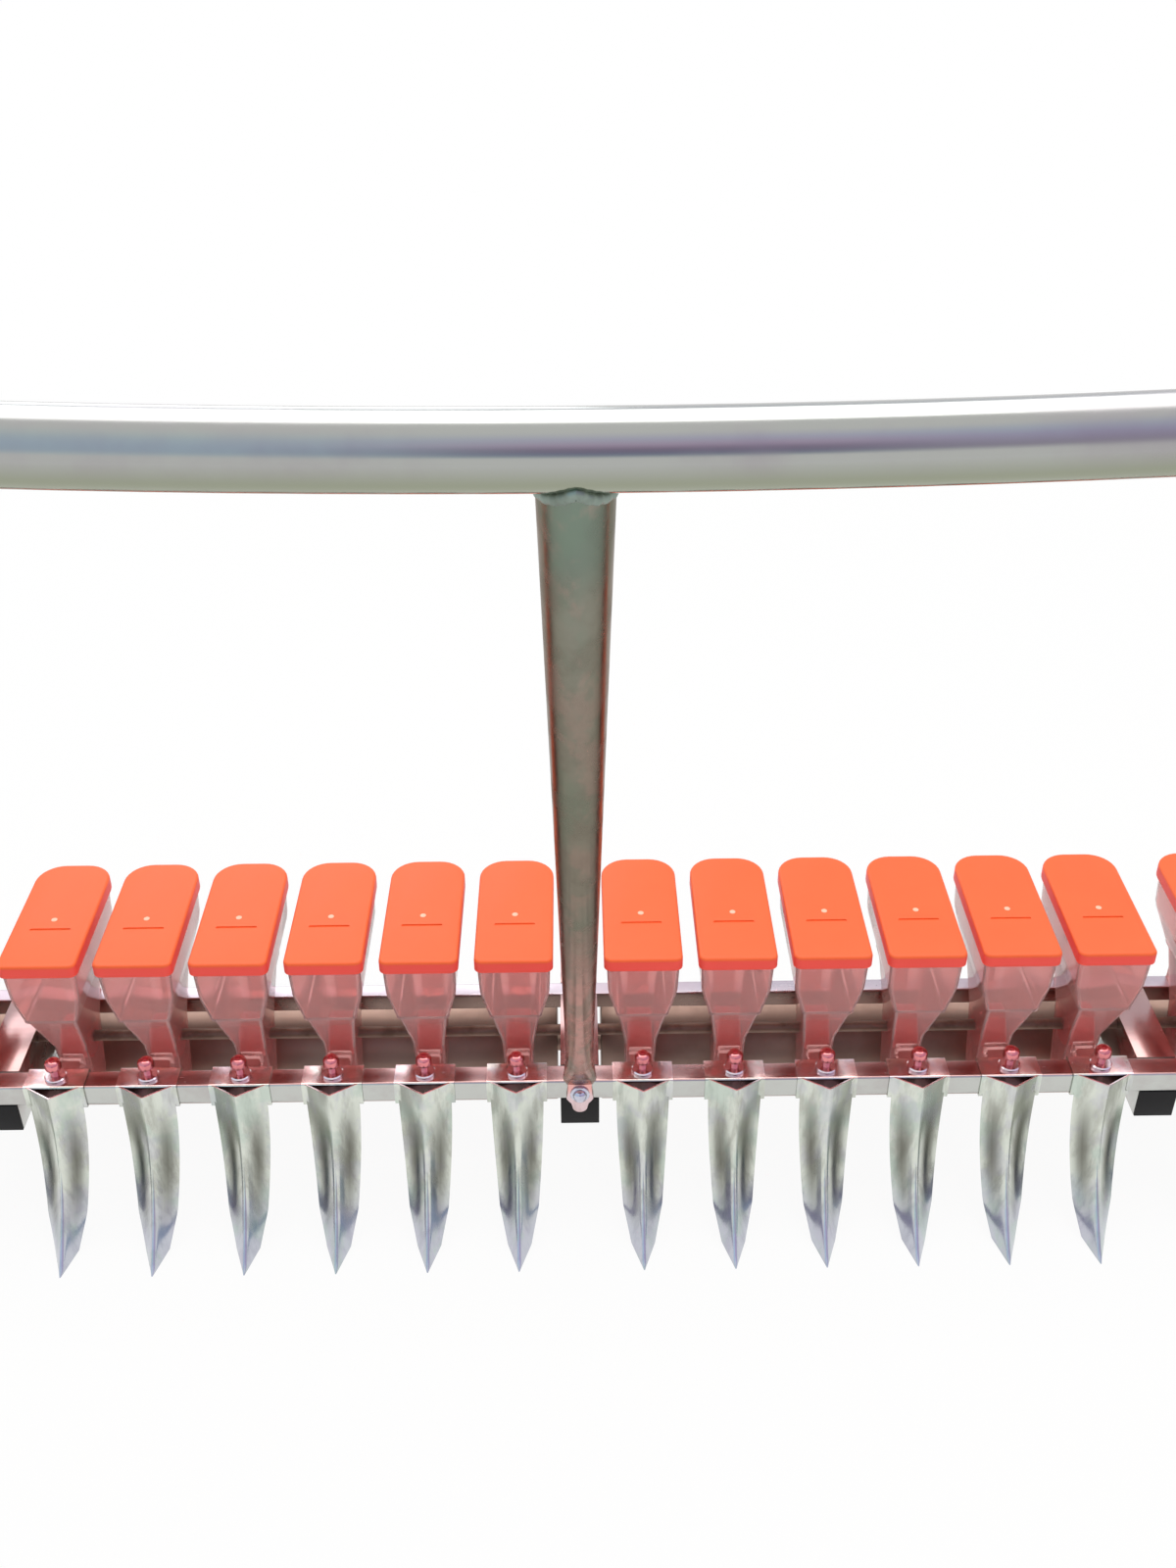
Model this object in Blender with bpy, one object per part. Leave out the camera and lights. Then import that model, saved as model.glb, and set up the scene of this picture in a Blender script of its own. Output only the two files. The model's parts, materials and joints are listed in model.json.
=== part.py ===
# Hand-pulled precision seeder for small vegetable seed, fourteen rows.
# Metres, +Z up, -Y is the side of the person who pulls. Openers and drum stand on Z = 0.
# Lengths below run from the front bar's front face (Y = 0) until the last step, which
# moves the whole machine so that its origin is the middle of its footprint.

import math

import bmesh
import bpy
from mathutils import Matrix, Vector

# Clearances
seat_gap = 0.0003          # between pieces that touch
running_gap = 0.0004       # round a shaft that turns
cut_margin = 0.010         # how far a cutting tool runs past what it cuts

# Rows
rows_per_side = 7
row_pitch = 0.095
centre_row_gap = 0.130     # between the two rows beside the handle
outer_row_gap = 0.125      # between the last two rows, where an outer member passes

# Frame
bar_size = 0.025
bar_wall = 0.0015
bar_top = 0.174            # height of the front bar's top face
rear_bar_size = 0.020
rear_bar_front = 0.1355
member_width = 0.040
member_height = 0.060
member_wall = 0.002
member_rear = 0.205
plug_flange = 0.002
plug_spigot = 0.012
member_front = plug_flange + seat_gap    # the plug's face is flush with the bar's

# Drum, its axle and the hangers that carry it
drum_radius = 0.065
drum_y = 0.178
drum_wall = 0.002
drum_end_wall = 0.003
drum_end_gap = 0.005       # between a drum section and the member beside it
drum_overhang = 0.040      # past the last row's centre
drum_end_recess = 0.006
axle_radius = 0.010
hanger_thickness = 0.008
hanger_front = 0.030       # from the drum axis forward to the hanger's front at the tube
hanger_rear_inset = 0.002  # from the tube's rear end
hanger_foot_share = 0.7    # hanger's half width at the boss, as a share of the boss radius
boss_radius = 0.022
boss_length = 0.024
axle_stub = 0.006          # axle past the last drum section, at the end with no chain
shaft_stub = 0.002         # both shafts past their sprocket's hub
drain_radius = 0.006
drain_height_share = 0.6   # drain hole's height above the axis, as a share of the drum radius
drum_sides = 20
cavity_sides = 12          # inside the drum, where nothing shows
bearing_sides = 10

# Seed shaft and rollers
shaft_z = 0.160
shaft_radius = 0.006
roller_radius = 0.023
roller_width = 0.026
shaft_end = 0.010          # seed shaft past the last roller, at the end with no chain
shaft_sides = 8

# Chain drive
chain_pitch = 0.0127
chain_links = 34
drum_teeth = 16
shaft_teeth = 12
chain_roller_radius = 0.0039
chain_plate_height = 0.0092
chain_plate_thickness = 0.0015
chain_inner_width = 0.0052
sprocket_thickness = 0.0034
sprocket_hub_radius = 0.014
sprocket_hub_length = 0.009
tooth_height = 0.0027
tooth_root_half = 0.0026
tooth_tip_half = 0.0012
chain_side_room = 0.014    # from the last lid to the middle of the chain
guard_sheet = 0.0015
guard_room = 0.005
guard_edge = 0.003         # bevel round the guard's outer face

# Openers
sleeve_width = 0.062
sleeve_wall = 0.002
opener_half_width = 0.0275
opener_nose = 0.0185       # how far the fold stands out at the top
opener_sweep = 0.081       # how far the fold runs forward to the tip
opener_rear_sweep = 0.068
opener_curve = 2.4
opener_sheet = 0.002
knee_level = 0.80          # share of the way down where the blade starts to narrow
knee_half_width = 0.0205
heel_level = 0.975
heel_half_width = 0.0125
tip_half_width = 0.0022
tip_length = 0.007
bolt_radius = 0.003
bolt_head_radius = 0.0052
bolt_head_height = 0.0065
bolt_rise = 0.0245
weld_nut_radius = 0.008
weld_nut_height = 0.004

# Hoppers and lids
lid_half_width = 0.0395
lid_front = 0.026
lid_rear = 0.198
lid_height = 0.139         # lid top above the bar top
lid_skirt = 0.015
lid_wall = 0.002
lid_edge = 0.003
lid_front_corner = 0.008
lid_rear_corner = 0.028
hopper_wall = 0.0024
wall_foot_height = 0.089   # above the bar top, where the upright walls end
wall_side_draft = 0.0022   # how far each side wall leans in down to its foot
wall_front_draft = 0.0015
wall_rear_draft = 0.003
ledge_height = 0.060
ledge_half_width = 0.026
ledge_front_step = 0.0025  # ledge behind the front wall
ledge_rear = 0.055         # behind the seed shaft
ledge_front_corner = 0.004
ledge_rear_corner = 0.010
ledge_thickening = 0.0012
housing_half_width = 0.0170
housing_front_room = 0.009     # in front of the roller at the throat
housing_rear_room = 0.009
housing_front_corner = 0.003
housing_rear_corner = 0.006
throat_rise = 0.009            # throat above the seed shaft's axis; the housing draws in below it
outlet_height = 0.084          # above the ground
outlet_half_width = 0.0145
outlet_half_depth = 0.016
foot_half_width = 0.012        # foot on the rear bar and lug behind the front bar
foot_inset = 0.0015
lug_height = 0.018
lug_drop = 0.007               # lug's top below the throat
hinge_pin_back = 0.0035    # pin axis behind the lid's rear face
hinge_pin_drop = 0.0015    # pin axis below the skirt
pin_radius = 0.0015        # moulded pin on each side of the lid's barrel
pin_sides = 6
barrel_radius = 0.0024     # half the barrel's height
barrel_half_width = 0.008
barrel_rise = 0.006        # barrel's top above the skirt's edge
ear_thickness = 0.003
ear_reach = 0.003          # ear round the pin's axis
ear_root = 0.014           # ear's root below the skirt's edge

# Handle
tube_radius = 0.0125
tube_wall = 0.0015
tube_sides = 12
grip_bar_y = -0.746
grip_bar_z = 1.147
grip_bar_half_length = 0.300
grip_bar_rise = 0.010      # the ends stand a little higher than the middle
flat_half_width = 0.017
flat_half_thickness = 0.0024
flat_length = 0.035        # up the post, where the crushed foot is widest
swell_length = 0.080       # where the crushed tube is half open again
swell_half_width = 0.0155
swell_half_thickness = 0.009
neck_length = 0.140        # where it is nearly round
neck_change = 0.0005       # still that much off a round tube
round_length = 0.190       # a round tube from here up
bore_start = 0.045
tongue_rise = 0.014        # tongue's top above the bar top
tongue_top_half = 0.0165
tongue_waist_half = 0.0125
tongue_waist_drop = 0.003
tongue_foot_half = 0.014
tongue_foot_drop = 0.021
tab_neck_half = 0.0095
tab_neck_drop = 0.0245
tab_radius = 0.008
tab_drop = 0.031           # tab centre below the bar top
handle_bolt_drop = 0.0125
handle_bolt_radius = 0.004
bolt_dome_radius = 0.005
bolt_rim_radius = 0.0075
bolt_head_length = 0.0085
bolt_shoulder = 0.0065
bolt_flange_radius = 0.010
bolt_flange = 0.002
bolt_nut_length = 0.0065
cap_length = 0.005
cap_spigot = 0.014
cap_edge_length = 0.0015
cap_edge_inset = 0.003
bolt_sides = 8

# Places worked out from the values above
member_bottom = bar_top - member_height
drum_z = drum_radius
lid_top = bar_top + lid_height
skirt_bottom = lid_top - lid_skirt
hinge_y = lid_rear + hinge_pin_back
hinge_z = skirt_bottom - hinge_pin_drop


def row_positions():
    right = [centre_row_gap / 2]
    while len(right) < rows_per_side - 1:
        right.append(right[-1] + row_pitch)
    right.append(right[-1] + outer_row_gap)
    return [-x for x in reversed(right)] + right


rows = row_positions()
outer_member_x = rows[-1] - outer_row_gap / 2
member_positions = [-outer_member_x, 0.0, outer_member_x]
drum_end = rows[-1] + drum_overhang
chain_x = rows[-1] + lid_half_width + chain_side_room
chain_half_width = chain_inner_width / 2 + chain_plate_thickness
guard_outer = chain_x + chain_half_width + guard_room + guard_sheet
guard_inner = chain_x - chain_half_width - guard_room
bar_half_length = guard_outer


# Chain geometry: both runs are treated as lying on circles whose arc for one tooth is one pitch
def wheel_radius(teeth):
    return teeth * chain_pitch / (2 * math.pi)


def chain_length(distance):
    small = wheel_radius(shaft_teeth)
    large = wheel_radius(drum_teeth)
    tilt = math.asin((large - small) / distance)
    straight = 2 * math.sqrt(distance ** 2 - (large - small) ** 2)
    return straight + small * (math.pi - 2 * tilt) + large * (math.pi + 2 * tilt)


def centre_distance():
    low, high = 2 * wheel_radius(drum_teeth), chain_links * chain_pitch
    for _ in range(60):
        middle = (low + high) / 2
        if chain_length(middle) > chain_links * chain_pitch:
            high = middle
        else:
            low = middle
    return (low + high) / 2


shaft_distance = centre_distance()
shaft_y = drum_y - math.sqrt(shaft_distance ** 2 - (shaft_z - drum_z) ** 2)
roller_front = shaft_y - roller_radius
roller_rear = shaft_y + roller_radius
throat_z = shaft_z + throat_rise
housing_front = roller_front - housing_front_room


def clear_scene():
    for thing in list(bpy.data.objects):
        bpy.data.objects.remove(thing, do_unlink=True)


def make_material(name, colour, roughness, metallic=0.0, alpha=1.0):
    material = bpy.data.materials.new(name)
    material.use_nodes = True
    shader = material.node_tree.nodes["Principled BSDF"]
    shader.inputs["Base Color"].default_value = (*colour, 1.0)
    shader.inputs["Roughness"].default_value = roughness
    shader.inputs["Metallic"].default_value = metallic
    shader.inputs["Alpha"].default_value = alpha
    material.diffuse_color = (*colour, alpha)
    return material


# Shape helpers: each returns a bmesh of one closed body
def loft(rings, ring_closed=False):
    # Bridges outlines of equal length; the ends are capped unless the rings come back round
    shape = bmesh.new()
    loops = [[shape.verts.new(point) for point in ring] for ring in rings]
    count = len(loops[0])
    pairs = list(zip(loops, loops[1:]))
    if ring_closed:
        pairs.append((loops[-1], loops[0]))
    for lower, upper in pairs:
        for i in range(count):
            j = (i + 1) % count
            shape.faces.new((lower[i], lower[j], upper[j], upper[i]))
    if not ring_closed:
        shape.faces.new(list(reversed(loops[0])))
        shape.faces.new(loops[-1])
    bmesh.ops.recalc_face_normals(shape, faces=shape.faces)
    return shape


def box(low, high):
    (x0, y0, z0), (x1, y1, z1) = low, high
    outline = [(x0, y0), (x1, y0), (x1, y1), (x0, y1)]
    return loft([[(x, y, z) for x, y in outline] for z in (z0, z1)])


def side_prism(outline, x0, x1):
    # An outline of (y, z) points drawn out along X
    return loft([[(x, y, z) for y, z in outline] for x in (x0, x1)])


def turned(profile, sides, axis, centre, phase=0.0):
    # A profile of (distance along the axis, radius) turned round an X, Y or Z axis
    rings = []
    for along, radius in profile:
        ring = []
        for k in range(sides):
            angle = phase + 2 * math.pi * k / sides
            u, v = radius * math.cos(angle), radius * math.sin(angle)
            if axis == "X":
                offset = (along, u, v)
            elif axis == "Y":
                offset = (v, along, u)
            else:
                offset = (u, v, along)
            ring.append(tuple(c + o for c, o in zip(centre, offset)))
        rings.append(ring)
    return loft(rings)


def rod(axis, centre, radius, start, end, sides, phase=0.0):
    return turned([(start, radius), (end, radius)], sides, axis, centre, phase)


def bore_radius(radius, sides):
    # A bore with flat sides that still clears a turning shaft's corners
    return (radius + running_gap) / math.cos(math.pi / sides)


def temporary_object(shape):
    mesh = bpy.data.meshes.new("working_mesh")
    shape.to_mesh(mesh)
    shape.free()
    working = bpy.data.objects.new("working", mesh)
    bpy.context.scene.collection.objects.link(working)
    return working


def combined(base, added=(), removed=()):
    # Joins and cuts with exact Booleans and returns the finished mesh
    target = temporary_object(base)
    tools = []
    for operation, shapes in (("UNION", added), ("DIFFERENCE", removed)):
        for shape in shapes:
            tool = temporary_object(shape)
            step = target.modifiers.new(operation.lower(), "BOOLEAN")
            step.operation = operation
            step.solver = "EXACT"
            step.object = tool
            tools.append(tool)
    bpy.context.view_layer.update()
    graph = bpy.context.evaluated_depsgraph_get()
    mesh = bpy.data.meshes.new_from_object(target.evaluated_get(graph))
    for used in [target] + tools:
        bpy.data.objects.remove(used, do_unlink=True)
    return mesh


def plain(shape):
    mesh = bpy.data.meshes.new("mesh")
    shape.to_mesh(mesh)
    shape.free()
    return mesh


def place(name, mesh, material, location=(0.0, 0.0, 0.0), smooth_angle=35):
    if not mesh.materials:
        mesh.materials.append(material)
        mesh.shade_smooth()
        mesh.set_sharp_from_angle(angle=math.radians(smooth_angle))
    piece = bpy.data.objects.new(name, mesh)
    piece.location = location
    piece.parent = machine
    bpy.context.scene.collection.objects.link(piece)
    return piece


def moved(mesh, offset):
    mesh.transform(Matrix.Translation(offset))
    return mesh


def mix(a, b, share):
    return a + (b - a) * share


# Outlines for the hopper and its lid: straight front, rounded rear
def tray_outline(half_width, front, rear, front_corner, rear_corner, z):
    points = []
    for k in range(3):
        angle = math.radians(45 * k)
        points.append((half_width - rear_corner + rear_corner * math.cos(angle),
                       rear - rear_corner + rear_corner * math.sin(angle), z))
    for k in range(3):
        angle = math.radians(90 + 45 * k)
        points.append((-half_width + rear_corner + rear_corner * math.cos(angle),
                       rear - rear_corner + rear_corner * math.sin(angle), z))
    points += [(-half_width, front + front_corner, z), (-half_width + front_corner, front, z),
               (half_width - front_corner, front, z), (half_width, front + front_corner, z)]
    return points


# Frame pieces
def front_bar_mesh():
    outer = [(0, bar_top - bar_size), (bar_size, bar_top - bar_size), (bar_size, bar_top), (0, bar_top)]
    inner = [(bar_wall, bar_top - bar_size + bar_wall), (bar_size - bar_wall, bar_top - bar_size + bar_wall),
             (bar_size - bar_wall, bar_top - bar_wall), (bar_wall, bar_top - bar_wall)]
    ends = (-bar_half_length, bar_half_length)
    rings = [[(x, y, z) for y, z in outer] for x in ends]
    rings += [[(x, y, z) for y, z in inner] for x in reversed(ends)]
    bolt_bore = rod("Y", (0, 0, bar_top - handle_bolt_drop), bore_radius(handle_bolt_radius, bolt_sides),
                    -cut_margin, bar_size + cut_margin, bolt_sides)
    return combined(loft(rings, ring_closed=True), removed=[bolt_bore])


def rear_bar_mesh():
    y0, z0 = rear_bar_front, bar_top - rear_bar_size
    y1, z1 = y0 + rear_bar_size, bar_top
    ends = (-bar_half_length, guard_inner - seat_gap)
    rings = [[(x, y, z) for y, z in ((y0, z0), (y1, z0), (y1, z1), (y0, z1))] for x in ends]
    w = bar_wall
    rings += [[(x, y, z) for y, z in ((y0 + w, z0 + w), (y1 - w, z0 + w), (y1 - w, z1 - w), (y0 + w, z1 - w))]
              for x in reversed(ends)]
    return plain(loft(rings, ring_closed=True))


def member_mesh():
    half = member_width / 2
    tube = box((-half, member_front, member_bottom), (half, member_rear, bar_top))
    root_z = member_bottom + member_wall / 2
    foot_half = boss_radius * hanger_foot_share
    hanger_outline = [(drum_y - hanger_front, root_z), (drum_y - foot_half, drum_z),
                      (drum_y + foot_half, drum_z), (member_rear - hanger_rear_inset, root_z)]
    hanger = side_prism(hanger_outline, -hanger_thickness / 2, hanger_thickness / 2)
    boss = rod("X", (0, drum_y, drum_z), boss_radius, -boss_length / 2, boss_length / 2, bearing_sides)
    past = half + cut_margin
    inside = box((-half + member_wall, member_front - cut_margin, member_bottom + member_wall),
                 (half - member_wall, member_rear + cut_margin, bar_top - member_wall))
    front_notch = box((-past, member_front - cut_margin, bar_top - bar_size - seat_gap),
                      (past, bar_size + seat_gap, bar_top + cut_margin))
    rear_notch = box((-past, rear_bar_front - seat_gap, bar_top - rear_bar_size - seat_gap),
                     (past, rear_bar_front + rear_bar_size + seat_gap, bar_top + cut_margin))
    axle_bore = rod("X", (0, drum_y, drum_z), bore_radius(axle_radius, bearing_sides), -past, past,
                    bearing_sides)
    shaft_bore = rod("X", (0, shaft_y, shaft_z), bore_radius(shaft_radius, shaft_sides), -past, past,
                     shaft_sides)
    return combined(tube, added=[hanger, boss],
                    removed=[inside, front_notch, rear_notch, axle_bore, shaft_bore])


def plug_mesh():
    # Black end plug: a flange on the tube's end and a spigot inside it
    half = member_width / 2
    top = bar_top - bar_size - seat_gap
    front = member_front - seat_gap - plug_flange
    inset = member_wall + seat_gap
    flange = [(-half, member_bottom), (half, member_bottom), (half, top), (-half, top)]
    spigot = [(-half + inset, member_bottom + inset), (half - inset, member_bottom + inset),
              (half - inset, top - inset), (-half + inset, top - inset)]
    rings = [[(x, front, z) for x, z in flange], [(x, front + plug_flange, z) for x, z in flange],
             [(x, front + plug_flange, z) for x, z in spigot],
             [(x, front + plug_flange + plug_spigot, z) for x, z in spigot]]
    return plain(loft(rings))


# Drum sections on one axle, hollow, with a drain hole in each end disc
def drum_sections():
    side = member_width / 2 + drum_end_gap
    inner = (side, outer_member_x - side)
    outer = (outer_member_x + side, drum_end)
    return [(-outer[1], -outer[0]), (-inner[1], -inner[0]), inner, outer]


def drum_mesh():
    centre = (0, drum_y, drum_z)
    end_left = -drum_end - axle_stub
    end_right = chain_x + sprocket_hub_length / 2 + shaft_stub
    sections = drum_sections()
    profile = [(end_left, axle_radius)]
    for start, end in sections:
        if start == sections[0][0]:
            profile += [(start + drum_end_recess, axle_radius),
                        (start + drum_end_recess, drum_radius - drum_wall), (start, drum_radius - drum_wall)]
        else:
            profile.append((start, axle_radius))
        profile += [(start, drum_radius), (end, drum_radius)]
        if end == sections[-1][1]:
            profile += [(end, drum_radius - drum_wall), (end - drum_end_recess, drum_radius - drum_wall),
                        (end - drum_end_recess, axle_radius)]
        else:
            profile.append((end, axle_radius))
    profile.append((end_right, axle_radius))
    cavities = []
    for start, end in sections:
        inner_start = start + drum_end_wall + (drum_end_recess if start == sections[0][0] else 0)
        inner_end = end - drum_end_wall - (drum_end_recess if end == sections[-1][1] else 0)
        rings = []
        for x, radius in ((inner_start, axle_radius), (inner_start, drum_radius - drum_wall),
                          (inner_end, drum_radius - drum_wall), (inner_end, axle_radius)):
            rings.append([(x, drum_y + radius * math.cos(2 * math.pi * k / cavity_sides),
                           drum_z + radius * math.sin(2 * math.pi * k / cavity_sides))
                          for k in range(cavity_sides)])
        cavities.append(loft(rings, ring_closed=True))
        outward = end if end > 0 else start
        drain = (0, drum_y, drum_z + drum_radius * drain_height_share)
        reach = drum_end_recess + drum_end_wall + cut_margin / 2
        cavities.append(rod("X", drain, drain_radius, outward - reach, outward + reach, 6))
    body = turned(profile, drum_sides, "X", centre)
    return moved(combined(body, removed=cavities), (0, -drum_y, -drum_z))


# Seed shaft: one turned piece with a roller for each row
def seed_shaft_mesh():
    left = rows[0] - roller_width / 2 - shaft_end
    right = chain_x + sprocket_hub_length / 2 + shaft_stub
    profile = [(left, shaft_radius)]
    for x in rows:
        rim = roller_width / 2
        profile += [(x - rim, shaft_radius), (x - rim, roller_radius),
                    (x + rim, roller_radius), (x + rim, shaft_radius)]
    profile.append((right, shaft_radius))
    return plain(turned(profile, shaft_sides, "X", (0, 0, 0)))


# Sprockets and chain
def sprocket_mesh(teeth, bore_for, bore_sides):
    pitch_radius = wheel_radius(teeth)
    root = pitch_radius - chain_roller_radius - seat_gap
    tip = pitch_radius + tooth_height
    corners = [(root, -tooth_root_half), (tip, -tooth_tip_half), (tip, tooth_tip_half),
               (root, tooth_root_half)]
    outline = []
    for k in range(teeth):
        middle = 2 * math.pi * (k + 0.5) / teeth
        for radius, half in corners:
            angle = middle + half / radius
            outline.append((radius * math.cos(angle), radius * math.sin(angle)))
    plate = side_prism(outline, -sprocket_thickness / 2, sprocket_thickness / 2)
    hub = rod("X", (0, 0, 0), sprocket_hub_radius, -sprocket_hub_length / 2, 0, bearing_sides)
    past = sprocket_hub_length / 2 + cut_margin
    bore = rod("X", (0, 0, 0), bore_radius(bore_for, bore_sides), -past, past, bore_sides)
    return combined(plate, added=[hub], removed=[bore])


def chain_point(distance):
    # Place and outward direction on the chain's loop, from the front tangent of the small wheel
    small, large = wheel_radius(shaft_teeth), wheel_radius(drum_teeth)
    tilt = math.asin((large - small) / shaft_distance)
    heading = math.atan2(drum_z - shaft_z, drum_y - shaft_y)
    straight = math.sqrt(shaft_distance ** 2 - (large - small) ** 2)
    upper = heading + math.pi / 2 + tilt
    lower = heading - math.pi / 2 - tilt
    arcs = [small * (math.pi - 2 * tilt), straight, large * (math.pi + 2 * tilt), straight]
    distance %= sum(arcs)
    if distance < arcs[0]:
        angle = upper + distance / small
        return (shaft_y + small * math.cos(angle), shaft_z + small * math.sin(angle)), angle
    distance -= arcs[0]
    if distance < arcs[1]:
        share = distance / straight
        y = mix(shaft_y + small * math.cos(lower), drum_y + large * math.cos(lower), share)
        z = mix(shaft_z + small * math.sin(lower), drum_z + large * math.sin(lower), share)
        return (y, z), lower
    distance -= arcs[1]
    if distance < arcs[2]:
        angle = lower + distance / large
        return (drum_y + large * math.cos(angle), drum_z + large * math.sin(angle)), angle
    distance -= arcs[2]
    share = distance / straight
    y = mix(drum_y + large * math.cos(upper), shaft_y + small * math.cos(upper), share)
    z = mix(drum_z + large * math.sin(upper), shaft_z + small * math.sin(upper), share)
    return (y, z), upper


def bend_stations():
    # Distances along the loop where the chain plates turn: both arcs, in half-pitch steps off the pins
    small, large = wheel_radius(shaft_teeth), wheel_radius(drum_teeth)
    tilt = math.asin((large - small) / shaft_distance)
    straight = math.sqrt(shaft_distance ** 2 - (large - small) ** 2)
    first_arc = small * (math.pi - 2 * tilt)
    second_arc = large * (math.pi + 2 * tilt)
    stations = [0.0]
    for start, arc in ((0.0, first_arc), (first_arc + straight, second_arc)):
        middles = [(k + 0.5) * chain_pitch for k in range(chain_links)]
        stations += [start] * (start > 0) + [d for d in middles if start < d < start + arc] + [start + arc]
    return stations


def chain_mesh():
    strips = []
    half = chain_plate_height / 2
    for side in (-1, 1):
        x0 = side * chain_inner_width / 2
        x1 = side * (chain_inner_width / 2 + chain_plate_thickness)
        rings = []
        for distance in bend_stations():
            (y, z), angle = chain_point(distance)
            out = (math.cos(angle), math.sin(angle))
            y0, z0 = y - out[0] * half, z - out[1] * half
            y1, z1 = y + out[0] * half, z + out[1] * half
            rings.append([(x0, y0, z0), (x1, y0, z0), (x1, y1, z1), (x0, y1, z1)])
        strips.append(loft(rings, ring_closed=True))
    pins = []
    reach = chain_inner_width / 2 + chain_plate_thickness / 2
    for k in range(chain_links):
        (y, z), angle = chain_point(k * chain_pitch)
        pins.append(rod("X", (0, y, z), chain_roller_radius, -reach, reach, 4, angle + math.pi / 4))
    joined_pins = bmesh.new()
    for pin in pins:
        scratch = bpy.data.meshes.new("pin")
        pin.to_mesh(scratch)
        pin.free()
        joined_pins.from_mesh(scratch)
        bpy.data.meshes.remove(scratch)
    mesh = combined(strips[0], added=[joined_pins, strips[1]])
    return moved(mesh, (chain_x, 0, 0))


def sprocket_turn(on_drum):
    # The roller places on each wheel set how far its teeth are turned
    small, large = wheel_radius(shaft_teeth), wheel_radius(drum_teeth)
    tilt = math.asin((large - small) / shaft_distance)
    if not on_drum:
        return chain_point(0)[1]
    start = small * (math.pi - 2 * tilt) + math.sqrt(shaft_distance ** 2 - (large - small) ** 2)
    first = math.ceil(start / chain_pitch) * chain_pitch
    return chain_point(first)[1]


def hull_outline(grow, x):
    # Outline round both sprockets and the chain, as one stretched loop
    small = wheel_radius(shaft_teeth) + chain_plate_height / 2 + grow
    large = wheel_radius(drum_teeth) + chain_plate_height / 2 + grow
    tilt = math.asin((large - small) / shaft_distance)
    heading = math.atan2(drum_z - shaft_z, drum_y - shaft_y)
    points = []
    for k in range(9):
        angle = mix(heading + math.pi / 2 + tilt, heading + 3 * math.pi / 2 - tilt, k / 8)
        points.append((x, shaft_y + small * math.cos(angle), shaft_z + small * math.sin(angle)))
    for k in range(9):
        angle = mix(heading - math.pi / 2 - tilt, heading + math.pi / 2 + tilt, k / 8)
        points.append((x, drum_y + large * math.cos(angle), drum_z + large * math.sin(angle)))
    return points


def guard_mesh():
    outside = guard_room + guard_sheet
    rings = [hull_outline(outside, guard_inner), hull_outline(outside, guard_outer - guard_edge),
             hull_outline(outside - guard_edge, guard_outer)]
    lug_z = bar_top - rear_bar_size
    lug = box((guard_inner, rear_bar_front, lug_z),
              (guard_inner + guard_sheet, rear_bar_front + rear_bar_size, bar_top))
    inside = loft([hull_outline(guard_room, guard_inner - cut_margin),
                   hull_outline(guard_room, guard_outer - guard_sheet)])
    return combined(loft(rings), added=[lug], removed=[inside])


# Opener: a square sleeve over the bar with a folded blade welded on its front
def blade_section(level):
    sleeve_front = -seat_gap - sleeve_wall
    top = bar_top + seat_gap + sleeve_wall
    curve = level ** opener_curve
    fold = sleeve_front - opener_nose + sleeve_wall - opener_sweep * curve
    rear = sleeve_front + sleeve_wall / 4 - opener_rear_sweep * curve
    if level <= knee_level:
        half = mix(opener_half_width, knee_half_width, (level / knee_level) ** 2)
    else:
        half = mix(knee_half_width, heel_half_width, (level - knee_level) / (heel_level - knee_level))
    z = top * (1 - level)
    return half, fold, rear, z


def chevron(half, fold, rear, z):
    depth = rear - fold
    slant = math.hypot(half, depth)
    inner_half = max(half - opener_sheet * slant / depth, half * 0.3)
    inner_fold = fold + min(opener_sheet * slant / half, depth * 0.6)
    return [(-half, rear, z), (0, fold, z), (half, rear, z),
            (inner_half, rear, z), (0, inner_fold, z), (-inner_half, rear, z)]


def blade_shape():
    levels = [0.0, 0.35, 0.6, knee_level, heel_level]
    rings = [chevron(*blade_section(level)) for level in levels]
    half, fold, rear, z = blade_section(1.0)
    rings.append(chevron(tip_half_width, fold, fold + tip_length, 0.0))
    return loft(rings)


def opener_mesh():
    reach = seat_gap + sleeve_wall
    outer = [(-reach, bar_top - bar_size - reach), (bar_size + reach, bar_top - bar_size - reach),
             (bar_size + reach, bar_top + reach), (-reach, bar_top + reach)]
    inner = [(-seat_gap, bar_top - bar_size - seat_gap), (bar_size + seat_gap, bar_top - bar_size - seat_gap),
             (bar_size + seat_gap, bar_top + seat_gap), (-seat_gap, bar_top + seat_gap)]
    ends = (-sleeve_width / 2, sleeve_width / 2)
    rings = [[(x, y, z) for y, z in outer] for x in ends]
    rings += [[(x, y, z) for y, z in inner] for x in reversed(ends)]
    top = bar_top + reach
    bolt = turned([(-sleeve_wall / 2, weld_nut_radius), (weld_nut_height, weld_nut_radius),
                   (weld_nut_height, bolt_radius), (bolt_rise - bolt_head_height, bolt_radius),
                   (bolt_rise - bolt_head_height, bolt_head_radius), (bolt_rise, bolt_head_radius)],
                  6, "Z", (0, bar_size / 2, top))
    return combined(loft(rings, ring_closed=True), added=[blade_shape(), bolt])


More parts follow.
